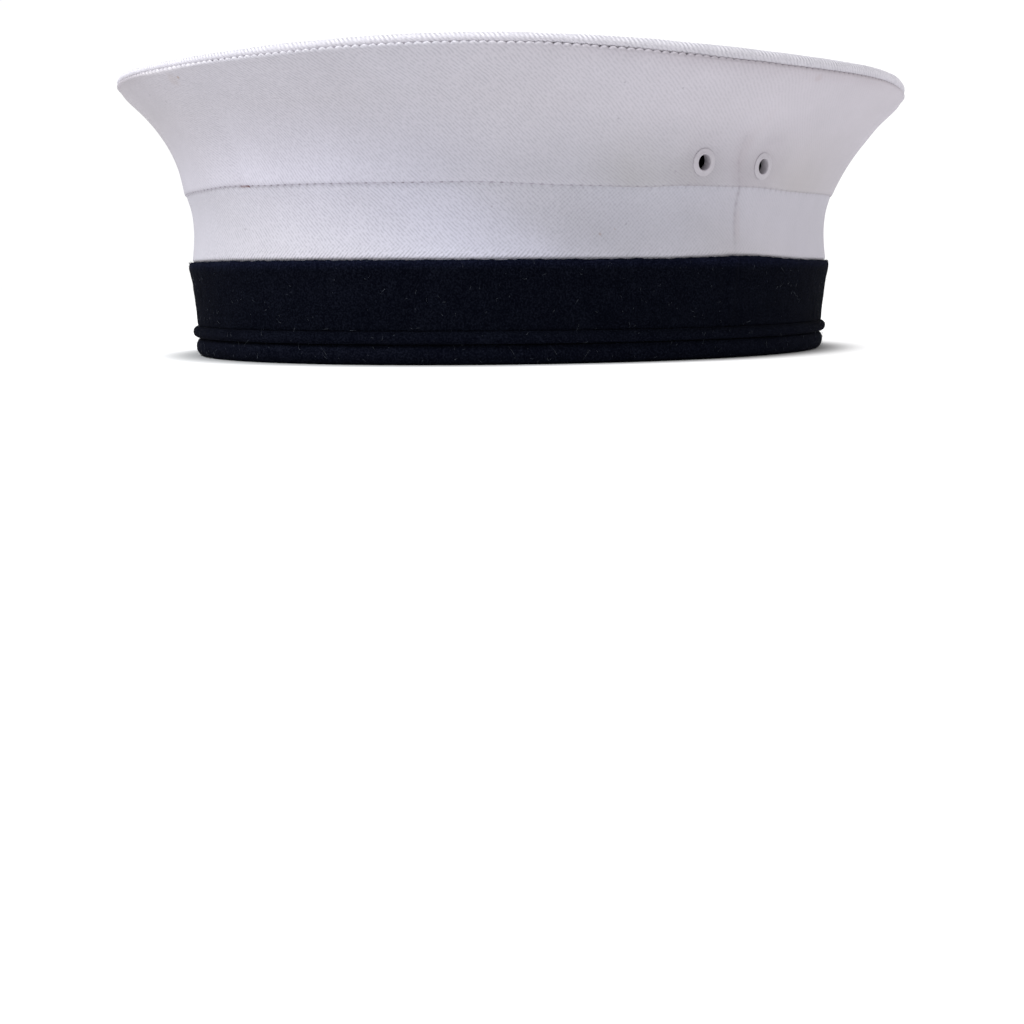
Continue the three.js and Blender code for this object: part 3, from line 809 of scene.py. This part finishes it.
def makePiping(material):
    radius, sides = size["pipingRadius"], piping["sides"]
    rings = []
    for a in [2 * math.pi * i / sides for i in range(sides)] + [0]:
        out = radius * (math.cos(a) - 1)
        height = size["crownHeight"] + radius * (math.sin(a) - 1)
        rings.append((size["rimWide"] + out, size["rimLong"] + out, height))
    piece = ovalRings("rim_piping_cord", piping["steps"], rings)
    points, ring, turn = ringPlaces(piece, piping["steps"], rings)
    around = math.pi * (size["rimWide"] + size["rimLong"])
    angle = 2 * math.pi * (ring % sides) / sides
    ribs = round(around / piping["ribPitch"])
    rib = np.cos(np.radians(turn) * ribs + angle * piping["ribTurns"])
    rib = rib * (0.6 + 1.2 * smoothNoise(points, 260, 41))
    swell = piping["ribDepth"] * rib + piping["slack"] * smoothNoise(points, 90, 43)
    points = points + outward(turn) * (swell * np.cos(angle))[:, None]
    points[:, 2] += swell * np.sin(angle) + rimTop(turn) - size["crownHeight"]
    points[:, 2] -= atTurn(droopRows, turn) * mm * (1 - np.sin(angle)) / 2
    writePoints(piece, points)
    # Painted highlight: the upper half of the cord and the crests of its ribs are lighter
    lit = np.clip((np.sin(angle) + 0.3) / 0.7, 0, 1) * np.clip(0.5 + 0.85 * rib, 0, 1)
    setMark(piece, "paintedHighlight", (0.25 + 0.75 * lit) * atTurn(pipingHighlightRows, turn))
    setMark(piece, "weave", np.ones(len(points)))
    closeRings(piece, piping["steps"], rings, turn, ring, around, piping["ribAngle"])
    finishPiece(piece, material, "white_twill", "rim_piping")


# Flat round top
crown = {
    "steps": 760,
    "shares": [1, 0.997, 0.99, 0.98, 0.965, 0.945, 0.92, 0.89, 0.85, 0.8, 0.72, 0.6, 0.45, 0.3, 0.15, 0.05],
    "edgeRound": 0.5 * mm,
    "puckers": 96,
    "puckerDepth": 0.22 * mm,
    "puckerReach": 0.05,  # of the way in from the edge
    "softDepth": 0.35 * mm,
    "ribAngle": 38,
}


def makeCrownTop(material):
    inside = 2 * size["pipingRadius"] + 0.05 * mm
    wide, long = size["rimWide"] - inside, size["rimLong"] - inside
    top = size["crownHeight"] - size["topDrop"]
    rings = [(wide, long, top - crown["edgeRound"])]
    rings += [(wide * share, long * share, top) for share in crown["shares"]]
    piece = ovalRings("crown_top_cloth", crown["steps"], rings)
    points, ring, turn = ringPlaces(piece, crown["steps"], rings)
    share = np.array([1] + crown["shares"])[ring]
    lift = (rimTop(turn) - size["crownHeight"]) * share**2 + size["topDome"] * (1 - share**2)
    pucker = np.cos(np.radians(turn) * crown["puckers"]) * (0.5 + smoothNoise(points, 60, 71))
    near = bell(1 - share, crown["puckerReach"]) * (share < 1)
    soft = crown["softDepth"] * smoothNoise(points, 22, 73) * (1 - share)
    points[:, 2] += lift + crown["puckerDepth"] * pucker * near + soft
    writePoints(piece, points)
    setMark(piece, "weave", np.ones(len(points)))
    mapCloth(piece, points[:, 0] + size["rimWide"], points[:, 1] + size["rimLong"])
    slantMap(piece, crown["ribAngle"])
    # The innermost ring closes to a point
    editMesh(piece, lambda: bpy.ops.mesh.select_all(action="DESELECT"))
    piece.data.vertices.foreach_set("select", ring == len(rings) - 1)
    choose(piece)
    bpy.ops.object.mode_set(mode="EDIT")
    bpy.ops.mesh.merge(type="CENTER")
    bpy.ops.object.mode_set(mode="OBJECT")
    editMesh(piece, turnOut)
    if np.mean([face.normal.z for face in piece.data.polygons]) < 0:
        editMesh(piece, bpy.ops.mesh.flip_normals)
    thicken(piece, size["topWall"])
    finishPiece(piece, material, "white_twill", "crown_top")


# Wool fibres that stand off the navy cloth, and the pale lint on it
fuzz = {
    "edgeHairs": 3600,
    "faceHairs": 6000,
    "lintHairs": 620,
    "hairLength": (0.2 * mm, 0.6 * mm),
    "lintLength": (0.4 * mm, 2 * mm),
    "hairRadius": 0.03 * mm,
    "lintRadius": 0.035 * mm,
    "lintLift": 0.2 * mm,
}


# One mesh of many thin bent hairs. A hair is (root, way, bend, length, radius).
def hairMesh(name, hairs, joints):
    corners, faces = [], []
    for root, way, bend, length, radius in hairs:
        side = way.cross(bend).normalized()
        start = len(corners)
        for j in range(joints + 1):
            share = j / joints
            middle = root + (way * share + bend * share * share) * length
            middle.z = max(middle.z, radius)  # a fibre lies on the floor, not in it
            thick = radius * (1 - 0.85 * share)
            lean = way.cross(side).normalized()
            for k in range(3):
                a = 2 * math.pi * k / 3
                corners.append(middle + (side * math.cos(a) + lean * math.sin(a)) * thick)
        for j in range(joints):
            for k in range(3):
                a, b = start + 3 * j + k, start + 3 * j + (k + 1) % 3
                faces.append((a, b, b + 3, a + 3))
        faces.append((start + 2, start + 1, start))
        end = start + 3 * joints
        faces.append((end, end + 1, end + 2))
    mesh = bpy.data.meshes.new(name)
    mesh.from_pydata([tuple(c) for c in corners], [], faces)
    piece = bpy.data.objects.new(name, mesh)
    bpy.context.scene.collection.objects.link(piece)
    editMesh(piece, turnOut)
    return piece


# A place on the outside of the navy cloth, and the way out of it there
def navyPlace(turn, height):
    outside = np.array(bandOutside())
    out = np.interp(height, outside[:, 1], outside[:, 0])
    if height < size["hemHeight"]:
        share = height / size["hemHeight"]
        out = size["hemProud"] - size["bandTaper"] - 0.55 * mm * max(0, abs(share - 0.5) * 2 - 0.5)
    elif height < size["bandFoot"]:
        off = (height - size["beadHeight"]) / size["beadRadius"]
        out = size["beadRadius"] * math.sqrt(max(0, 1 - off * off)) - size["bandTaper"] - 0.1 * mm
    a = math.radians(turn)
    wide, long = size["bandWide"] + out, size["bandLong"] + out
    point = Vector((wide * math.sin(a), -long * math.cos(a), height))
    away = Vector((long * math.sin(a), -wide * math.cos(a), 0)).normalized()
    return point, away


def darkHair(rng, point, way):
    bend = Vector([rng.uniform(-0.6, 0.6) for _ in range(3)])
    return point, way.normalized(), bend, rng.uniform(*fuzz["hairLength"]), fuzz["hairRadius"]


def makeFuzz(navyHair, paleHair):
    rng = random.Random(5)
    rise = Vector((0, 0, 1))
    dark, pale = [], []
    for _ in range(fuzz["edgeHairs"]):
        turn = rng.uniform(0, 360)
        point, away = navyPlace(turn, float(bandTop(turn)) - rng.uniform(0, 0.5) * mm)
        point = point - away * rng.uniform(0, 1) * size["bandEdge"]
        on = Vector((-away.y, away.x, 0))
        way = rise * rng.uniform(0.1, 0.7) + away * rng.uniform(-0.4, 0.4) + on * rng.uniform(-1.2, 1.2)
        dark.append(darkHair(rng, point, way))
    for _ in range(fuzz["faceHairs"]):
        point, away = navyPlace(rng.uniform(0, 360), rng.uniform(0.4 * mm, size["bandHeight"] - 0.5 * mm))
        on = Vector((-away.y, away.x, 0))
        way = away * rng.uniform(0.05, 0.35) + on * rng.uniform(-1, 1) + rise * rng.uniform(-1, 1)
        dark.append(darkHair(rng, point, way))
    for _ in range(fuzz["lintHairs"]):
        turn, reach = rng.uniform(0, 360), rng.uniform(0, 1)
        point, away = navyPlace(turn, 1 * mm + reach**1.5 * (size["bandHeight"] - 1.3 * mm))
        on = Vector((-away.y, away.x, 0))
        way = (on * rng.uniform(-1, 1) + rise * rng.uniform(-1, 1) + away * 0.1).normalized()
        bend = on * rng.uniform(-0.9, 0.9) + rise * rng.uniform(-0.9, 0.9)
        length = rng.uniform(*fuzz["lintLength"]) * rng.uniform(0.3, 1)
        pale.append((point + away * fuzz["lintLift"], way, bend, length, fuzz["lintRadius"]))
    finishPiece(hairMesh("navy_fuzz", dark, 2), navyHair, "navy_wool")
    finishPiece(hairMesh("pale_lint", pale, 4), paleHair, "navy_wool")


# Materials: small helpers that add a node, set or link its sockets and give its result
def setSockets(tree, node, values):
    for label, value in values.items():
        socket = node.inputs[label]
        if isinstance(value, bpy.types.NodeSocket):
            tree.links.new(value, socket)
        elif socket.type == "RGBA":
            socket.default_value = (*value, 1)
        else:
            socket.default_value = value


def addNode(tree, kind, values, **settings):
    node = tree.nodes.new(kind)
    for key, value in settings.items():
        setattr(node, key, value)
    setSockets(tree, node, values)
    return node


def calc(tree, operation, *values, clamp=False):
    values = dict(enumerate(values))
    return addNode(tree, "ShaderNodeMath", values, operation=operation, use_clamp=clamp).outputs[0]


def vectorCalc(tree, operation, *values, output="Vector"):
    values = dict(enumerate(values))
    return addNode(tree, "ShaderNodeVectorMath", values, operation=operation).outputs[output]


def noiseNode(tree, vector, scale, detail=2, roughness=0.5):
    values = {"Vector": vector, "Scale": scale, "Detail": detail, "Roughness": roughness}
    return addNode(tree, "ShaderNodeTexNoise", values).outputs["Fac"]


def smoothStep(tree, value, low, high, start=0, end=1):
    values = {"Value": value, "From Min": low, "From Max": high, "To Min": start, "To Max": end}
    return addNode(tree, "ShaderNodeMapRange", values, interpolation_type="SMOOTHSTEP").outputs[0]


def mixColour(tree, factor, first, second, blend="MIX"):
    node = addNode(tree, "ShaderNodeMix", {}, data_type="RGBA", blend_type=blend, clamp_factor=False)
    setSockets(tree, node, {"Factor": factor, "A": first, "B": second})
    return node.outputs["Result"]


def split(tree, vector):
    return addNode(tree, "ShaderNodeSeparateXYZ", {0: vector}).outputs


def objectPlace(tree):
    return tree.nodes.new("ShaderNodeTexCoord").outputs["Object"]


def markValue(tree, name):
    return addNode(tree, "ShaderNodeAttribute", {}, attribute_name=name).outputs["Fac"]


def newMaterial(name, roughness, specular):
    material = bpy.data.materials.new(name)
    material.use_nodes = True
    tree = material.node_tree
    tree.nodes.clear()
    values = {"Roughness": roughness, "Specular IOR Level": specular}
    shader = addNode(tree, "ShaderNodeBsdfPrincipled", values)
    addNode(tree, "ShaderNodeOutputMaterial", {"Surface": shader.outputs["BSDF"]})
    return material, tree, shader


def dress(tree, shader, colour, height, strength, distance):
    relief = addNode(tree, "ShaderNodeBump", {"Height": height, "Strength": strength, "Distance": distance})
    setSockets(tree, shader, {"Base Color": colour, "Normal": relief.outputs["Normal"]})


def newGroup(name, inputs, outputs):
    group = bpy.data.node_groups.new(name, "ShaderNodeTree")
    for label, kind, value in inputs:
        socket = group.interface.new_socket(label, in_out="INPUT", socket_type="NodeSocket" + kind)
        if value is not None:
            socket.default_value = value
    for label in outputs:
        group.interface.new_socket(label, in_out="OUTPUT", socket_type="NodeSocketFloat")
    entry = group.nodes.new("NodeGroupInput")
    leave = group.nodes.new("NodeGroupOutput")
    return group, entry.outputs, leave


def placeGroup(tree, group, values):
    return addNode(tree, "ShaderNodeGroup", values, node_tree=group).outputs


# Twill: ribs across the first axis of the cloth map, broken into short floats along the second
def twillGroup():
    inputs = [("Cloth", "Vector", None), ("Spacing", "Float", 0.8 * mm)]
    group, entry, leave = newGroup("twill weave", inputs, ["Groove", "Height"])
    cloth, spacing = entry["Cloth"], entry["Spacing"]
    x, y = split(group, cloth)[:2]
    drift, jitter = noiseNode(group, cloth, 200), noiseNode(group, cloth, 1100, 1)
    drift = calc(group, "MULTIPLY_ADD", jitter, 0.18, drift)
    across = calc(group, "ADD", calc(group, "DIVIDE", x, spacing), drift)
    rib = calc(group, "COSINE", calc(group, "MULTIPLY", across, 2 * math.pi))
    rib = calc(group, "MULTIPLY_ADD", rib, 0.5, 0.5)
    along = calc(group, "DIVIDE", y, calc(group, "MULTIPLY", spacing, 2.4))
    floats = addNode(group, "ShaderNodeCombineXYZ", {"X": across, "Y": along}).outputs[0]
    dash = calc(group, "MULTIPLY_ADD", noiseNode(group, floats, 1.7, 1), 3.6, -1.25, clamp=True)
    thread = noiseNode(group, cloth, 2400)
    dip = calc(group, "POWER", calc(group, "SUBTRACT", 1, rib), 1.3)
    groove = calc(group, "MULTIPLY", dip, calc(group, "MULTIPLY_ADD", dash, 1.25, 0.15))
    groove = calc(group, "ADD", groove, calc(group, "MULTIPLY_ADD", thread, 1.1, -0.55), clamp=True)
    height = calc(group, "MULTIPLY_ADD", thread, 0.3, calc(group, "SUBTRACT", 1, groove))
    setSockets(group, leave, {"Groove": groove, "Height": height})
    return group


# Soft uneven tone of worn cloth, with a few fine specks
def wearGroup():
    inputs = [("Place", "Vector", None), ("Specks", "Float", 0.5)]
    group, entry, leave = newGroup("cloth wear", inputs, ["Tone", "Speck"])
    wide, fine = noiseNode(group, entry["Place"], 28, 3), noiseNode(group, entry["Place"], 150, 3)
    tone = calc(group, "MULTIPLY_ADD", wide, 0.7, calc(group, "MULTIPLY", fine, 0.3))
    cells = addNode(group, "ShaderNodeTexVoronoi", {"Scale": 170, "Vector": entry["Place"]}).outputs
    near = calc(group, "LESS_THAN", cells["Distance"], 0.055)
    pick = addNode(group, "ShaderNodeSeparateColor", {0: cells["Color"]}).outputs[0]
    rare = calc(group, "GREATER_THAN", pick, 0.8)
    speck = calc(group, "MULTIPLY", calc(group, "MULTIPLY", near, rare), entry["Specks"])
    setSockets(group, leave, {"Tone": tone, "Speck": speck})
    return group


# A soft-edged spot round a point of the cap
def spotGroup():
    inputs = [("Place", "Vector", None), ("Centre", "Vector", None), ("Stretch", "Vector", (1, 1, 1)),
              ("Radius", "Float", 1 * mm)]
    group, entry, leave = newGroup("stain spot", inputs, ["Mask"])
    away = vectorCalc(group, "SUBTRACT", entry["Place"], entry["Centre"])
    stretched = vectorCalc(group, "DIVIDE", away, entry["Stretch"])
    length = vectorCalc(group, "LENGTH", stretched, output="Value")
    ragged = calc(group, "MULTIPLY_ADD", noiseNode(group, entry["Place"], 1200), 0.8, -0.4)
    reach = calc(group, "ADD", calc(group, "DIVIDE", length, entry["Radius"]), ragged)
    setSockets(group, leave, {"Mask": smoothStep(group, reach, 1.2, 0.4)})
    return group


twill = twillGroup()
wear = wearGroup()
spot = spotGroup()

# Colours of white cloth, with the colour of a painted highlight, a tint for painted light and shade, and
# dark colours for stitches, grime and painted shade
whiteLook = {
    "thread": (0.492, 0.473, 0.522),
    "groove": (0.255, 0.25, 0.29),
    "grooveShare": 0.38,
    "grooveMean": 0.42,
    "paintedHighlight": (0.87, 0.845, 0.9),
    "stitchesAndCreaseShade": (0.2, 0.18, 0.21),
    "speck": (0.3, 0.28, 0.32),
    "grimeAndShade": (0.7, 0.655, 0.66),
    "pale": (1.11, 1.12, 1.17),
    "warm": (1.01, 0.985, 0.94),
    "bump": 0.25,
    "bumpDepth": 0.12 * mm,
}
# Stains where the cap has them: centre, radius and stretch in millimetres, colour and strength
brown, grey, pinkish = (0.3, 0.22, 0.17), (0.26, 0.25, 0.28), (0.4, 0.33, 0.35)
seamStains = [
    ((7.5, -105.2, 46), 0.45, (6, 3, 0.8), (0.2, 0.1, 0.09), 0.5),
    ((9.2, -105.1, 46), 0.45, (1.2, 3, 0.8), (0.1, 0.03, 0.03), 0.9),
]
flareStains = seamStains + [
    ((1.6, -120.7, 73), 0.65, (1, 1.5, 0.9), brown, 0.75),
    ((-1.2, -120.4, 72.8), 2.4, (1, 2, 0.8), brown, 0.14),
    ((-20.4, -116.2, 70.9), 0.4, (1, 3, 1), grey, 0.5),
    ((-8.3, -118.5, 71.3), 0.35, (1, 3, 1), grey, 0.5),
    ((-25, -114, 69.9), 0.35, (1, 3, 1), grey, 0.4),
    ((-13.7, -114.8, 68.6), 0.4, (1, 3, 1), grey, 0.45),
    ((110.3, 3.2, 72.6), 1.1, (2, 1.4, 1), pinkish, 0.3),
    ((92.4, -4.3, 54.9), 3.4, (2, 0.6, 2.6), pinkish, 0.07),
    ((98.6, -2.7, 63.3), 2.4, (2, 0.7, 2), pinkish, 0.06),
]
bandStains = seamStains + [
    ((80.6, -37, 35.6), 0.35, (2, 1, 1), grey, 0.5),
    ((78.2, -44, 33), 0.45, (2, 1, 1), brown, 0.45),
    ((79.6, -40.1, 34.3), 0.3, (2, 1, 1), brown, 0.4),
    ((86.4, 0.7, 36), 1.6, (2, 0.8, 4), pinkish, 0.18),
]


def twillMaterial(name, spacing, stained=(), grooveShare=whiteLook["grooveShare"], bump=whiteLook["bump"],
                  crossed=False):
    material, tree, shader = newMaterial(name, 0.92, 0.2)
    cloth = addNode(tree, "ShaderNodeUVMap", {}, uv_map="cloth").outputs["UV"]
    place = objectPlace(tree)
    weave = placeGroup(tree, twill, {"Cloth": cloth, "Spacing": spacing})
    worn = placeGroup(tree, wear, {"Place": place, "Specks": 0.5})
    groove = weave["Groove"]
    if crossed:  # the ribs show the other way where the mark says so
        x, y = split(tree, cloth)[:2]
        swapped = addNode(tree, "ShaderNodeCombineXYZ", {"X": y, "Y": x}).outputs[0]
        other = placeGroup(tree, twill, {"Cloth": swapped, "Spacing": spacing})
        cross = markValue(tree, "cross")
        groove = calc(tree, "MULTIPLY_ADD", calc(tree, "SUBTRACT", other["Groove"], groove), cross, groove)
    plain, mean = markValue(tree, "weave"), whiteLook["grooveMean"]
    share = calc(tree, "MULTIPLY_ADD", calc(tree, "SUBTRACT", groove, mean), plain, mean)
    share = calc(tree, "MULTIPLY", share, grooveShare)
    if crossed:
        share = calc(tree, "MULTIPLY_ADD", calc(tree, "MULTIPLY", share, cross), 0.5, share)
    # Painted highlight: the thread is lightened where the mark says so
    paintedHighlight = calc(tree, "MULTIPLY", markValue(tree, "paintedHighlight"), 1, clamp=True)
    thread = mixColour(tree, paintedHighlight, whiteLook["thread"], whiteLook["paintedHighlight"])
    colour = mixColour(tree, share, thread, whiteLook["groove"])
    tone = calc(tree, "MULTIPLY_ADD", worn["Tone"], 0.26, 0.87)
    even = addNode(tree, "ShaderNodeCombineColor", {0: tone, 1: tone, 2: tone}).outputs[0]
    colour = mixColour(tree, 1, colour, even, "MULTIPLY")
    # Grime and painted shade, painted light and shade, and a warm tint, each by its mark
    for tint in ("grimeAndShade", "pale", "warm"):
        shade = mixColour(tree, 1, colour, whiteLook[tint], "MULTIPLY")
        colour = mixColour(tree, markValue(tree, tint), colour, shade)
    colour = mixColour(tree, worn["Speck"], colour, whiteLook["speck"])
    # Dark stitches and painted crease shade
    stitchesAndCreaseShade = calc(tree, "MULTIPLY", markValue(tree, "stitchesAndCreaseShade"), 0.9, clamp=True)
    colour = mixColour(tree, stitchesAndCreaseShade, colour, whiteLook["stitchesAndCreaseShade"])
    for centre, radius, stretch, tint, strength in stained:
        centre = [v * mm for v in centre]
        values = {"Place": place, "Radius": radius * mm, "Centre": centre, "Stretch": stretch}
        mask = placeGroup(tree, spot, values)["Mask"]
        colour = mixColour(tree, calc(tree, "MULTIPLY", mask, strength), colour, tint)
    height = calc(tree, "MULTIPLY", weave["Height"], plain)
    dress(tree, shader, colour, height, bump, whiteLook["bumpDepth"])
    return material


navyLook = {
    "deep": (0.001, 0.0013, 0.0034),
    "fibre": (0.0067, 0.008, 0.014),
    # The foot and edge gains are painted light: the hem and bead, and the top edge, are made lighter
    "foot": (9 * mm, 5 * mm, (1.5, 1.45, 1.45)),
    "edge": (23.8 * mm, 26.8 * mm, (1.9, 1.9, 2.35)),
    "bump": 0.6,
    "bumpDepth": 0.25 * mm,
}


def navyMaterial(name):
    material, tree, shader = newMaterial(name, 1, 0.015)
    place = objectPlace(tree)
    felt = noiseNode(tree, place, 2300, 3, 0.6)
    blotch = calc(tree, "MULTIPLY_ADD", noiseNode(tree, place, 180, 3), 0.5, -0.25)
    tone = calc(tree, "ADD", calc(tree, "MULTIPLY_ADD", felt, 3.2, -1.4), blotch, clamp=True)
    colour = mixColour(tree, tone, navyLook["deep"], navyLook["fibre"])
    height = split(tree, place)["Z"]
    # Painted light: lighter towards the foot, lighter and bluer at the top edge
    for near, far, gain in (navyLook["foot"], navyLook["edge"]):
        brighter = mixColour(tree, 1, colour, gain, "MULTIPLY")
        colour = mixColour(tree, smoothStep(tree, height, near, far), colour, brighter)
    dress(tree, shader, colour, felt, navyLook["bump"], navyLook["bumpDepth"])
    return material


def hairMaterial(name, colour, share):
    material, tree, shader = newMaterial(name, 0.8, 0.1)
    tone = noiseNode(tree, objectPlace(tree), 400)
    setSockets(tree, shader, {"Base Color": mixColour(tree, tone, [c * share for c in colour], colour)})
    return material


def enamelMaterial(name, dull, bright):
    material, tree, shader = newMaterial(name, 0.5, 0.35)
    tone = noiseNode(tree, objectPlace(tree), 700, 3)
    setSockets(tree, shader, {"Roughness": calc(tree, "MULTIPLY_ADD", tone, 0.2, 0.35)})
    dress(tree, shader, mixColour(tree, tone, dull, bright), tone, 0.15, 0.1 * mm)
    return material


# Build the cap
flareCloth = twillMaterial("flare twill", 0.84 * mm, flareStains)
sideCloth = twillMaterial("side band twill", 0.82 * mm, bandStains, grooveShare=0.45, crossed=True)
pipingCloth = twillMaterial("piping twill", 0.85 * mm, grooveShare=0.3, bump=0.3)
crownCloth = twillMaterial("crown twill", 0.9 * mm)
navyCloth = navyMaterial("navy wool")
enamel = enamelMaterial("white enamel", (0.39, 0.365, 0.4), (0.46, 0.435, 0.475))
navyHair = hairMaterial("navy wool fibre", (0.009, 0.012, 0.026), 0.3)
paleHair = hairMaterial("pale lint", (0.12, 0.135, 0.16), 0.3)

makeHeadBand(navyCloth)
makeBead(navyCloth)
makeHem(navyCloth)
print("navy band, bead and hem made")
left, right = sideBand["joins"]
makeSideBand("side_band_front_cloth", "side_band_front", right - 360, left, 31, sideCloth)
makeSideBand("side_band_back_cloth", "side_band_back", left, right, 32, sideCloth)
print("side band made")
for quarter in quarters:
    makeFlare(quarter, flareCloth)
for eyelet in eyelets:
    makeEyelet(eyelet, enamel)
print("flare and eyelets made")
makePiping(pipingCloth)
makeCrownTop(crownCloth)
print("rim and top made")
makeFuzz(navyHair, paleHair)
print("fuzz made")


# Studio: a pale floor that glows from just outside the cap's foot, and a sky that dims towards the top. The
# glow fades in over a soft oval ring round the foot, a painted contact shadow.
studio = {
    "floorReach": 4.0,
    "paper": (0.45, 0.45, 0.455),
    "glow": 0.82,
    "under": (84 * mm, 101 * mm, 1),
    "edge": 1.2,
    "horizon": 1.06,
    "horizonTop": 0.17,
    "lean": (0.08, 0.085, 0),
    "zenith": 0.27,
    "zenithFoot": 0.6,
}


def makeStudio():
    clearSelection()
    reach = studio["floorReach"]
    bpy.ops.mesh.primitive_circle_add(vertices=96, radius=reach, fill_type="NGON", calc_uvs=False)
    floor = bpy.context.object
    floor.name = "floor"
    editMesh(floor, turnOut)
    material, tree, shader = newMaterial("studio paper", 1, 0)
    oval = vectorCalc(tree, "DIVIDE", objectPlace(tree), studio["under"])
    length = vectorCalc(tree, "LENGTH", oval, output="Value")
    lit = mixColour(tree, smoothStep(tree, length, 1, studio["edge"]), (0, 0, 0), (1, 1, 1))
    glow = {"Base Color": studio["paper"], "Emission Color": lit, "Emission Strength": studio["glow"]}
    setSockets(tree, shader, glow)
    floor.data.materials.append(material)
    world = bpy.data.worlds.new("studio light")
    bpy.context.scene.world = world
    world.use_nodes = True
    tree = world.node_tree
    way = tree.nodes.new("ShaderNodeTexCoord").outputs["Generated"]
    fall = smoothStep(tree, split(tree, way)["Z"], studio["horizonTop"], studio["zenithFoot"],
                      studio["horizon"], studio["zenith"])
    lean = vectorCalc(tree, "DOT_PRODUCT", way, studio["lean"], output="Value")
    tree.links.new(calc(tree, "ADD", fall, lean), tree.nodes["Background"].inputs["Color"])


lampAim = Vector((0, 0, 0.05))


def addLamp(name, place, width, power, colour):
    lamp = bpy.data.lights.new(name, "AREA")
    lamp.color = colour
    lamp.shape = "SQUARE"
    lamp.size = width
    lamp.energy = power
    holder = bpy.data.objects.new(name, lamp)
    holder.location = place
    holder.rotation_euler = (lampAim - Vector(place)).to_track_quat("-Z", "Y").to_euler()
    bpy.context.scene.collection.objects.link(holder)


def addCamera():
    camera = {"turn": 47.5427, "aside": -2.6931 * mm, "away": 502.6944 * mm, "height": 22.4054 * mm,
              "pitch": 0.1465, "roll": -0.0052, "lens": 56.15}
    turn = math.radians(camera["turn"])
    right = Vector((math.cos(turn), math.sin(turn), 0))
    ahead = Vector((-math.sin(turn), math.cos(turn), 0))
    place = right * camera["aside"] - ahead * camera["away"] + Vector((0, 0, camera["height"]))
    data = bpy.data.cameras.new("camera")
    data.lens = camera["lens"]
    data.sensor_width = 36
    data.clip_start, data.clip_end = 0.01, 20
    holder = bpy.data.objects.new("camera", data)
    bpy.context.scene.collection.objects.link(holder)
    holder.matrix_world = (
        Matrix.Translation(place) @ Matrix.Rotation(turn, 4, "Z")
        @ Matrix.Rotation(math.pi / 2 - camera["pitch"], 4, "X") @ Matrix.Rotation(camera["roll"], 4, "Z")
    )
    bpy.context.scene.camera = holder


makeStudio()
addLamp("key", (-0.091, -1.037, 1.29), 0.5, 22, (0.95, 0.98, 1))
addLamp("fill", (0.41, 1.13, 0.9), 0.6, 3.2, (1, 0.98, 0.95))
addCamera()
bpy.context.scene.view_settings.view_transform = "Standard"
print("studio made")
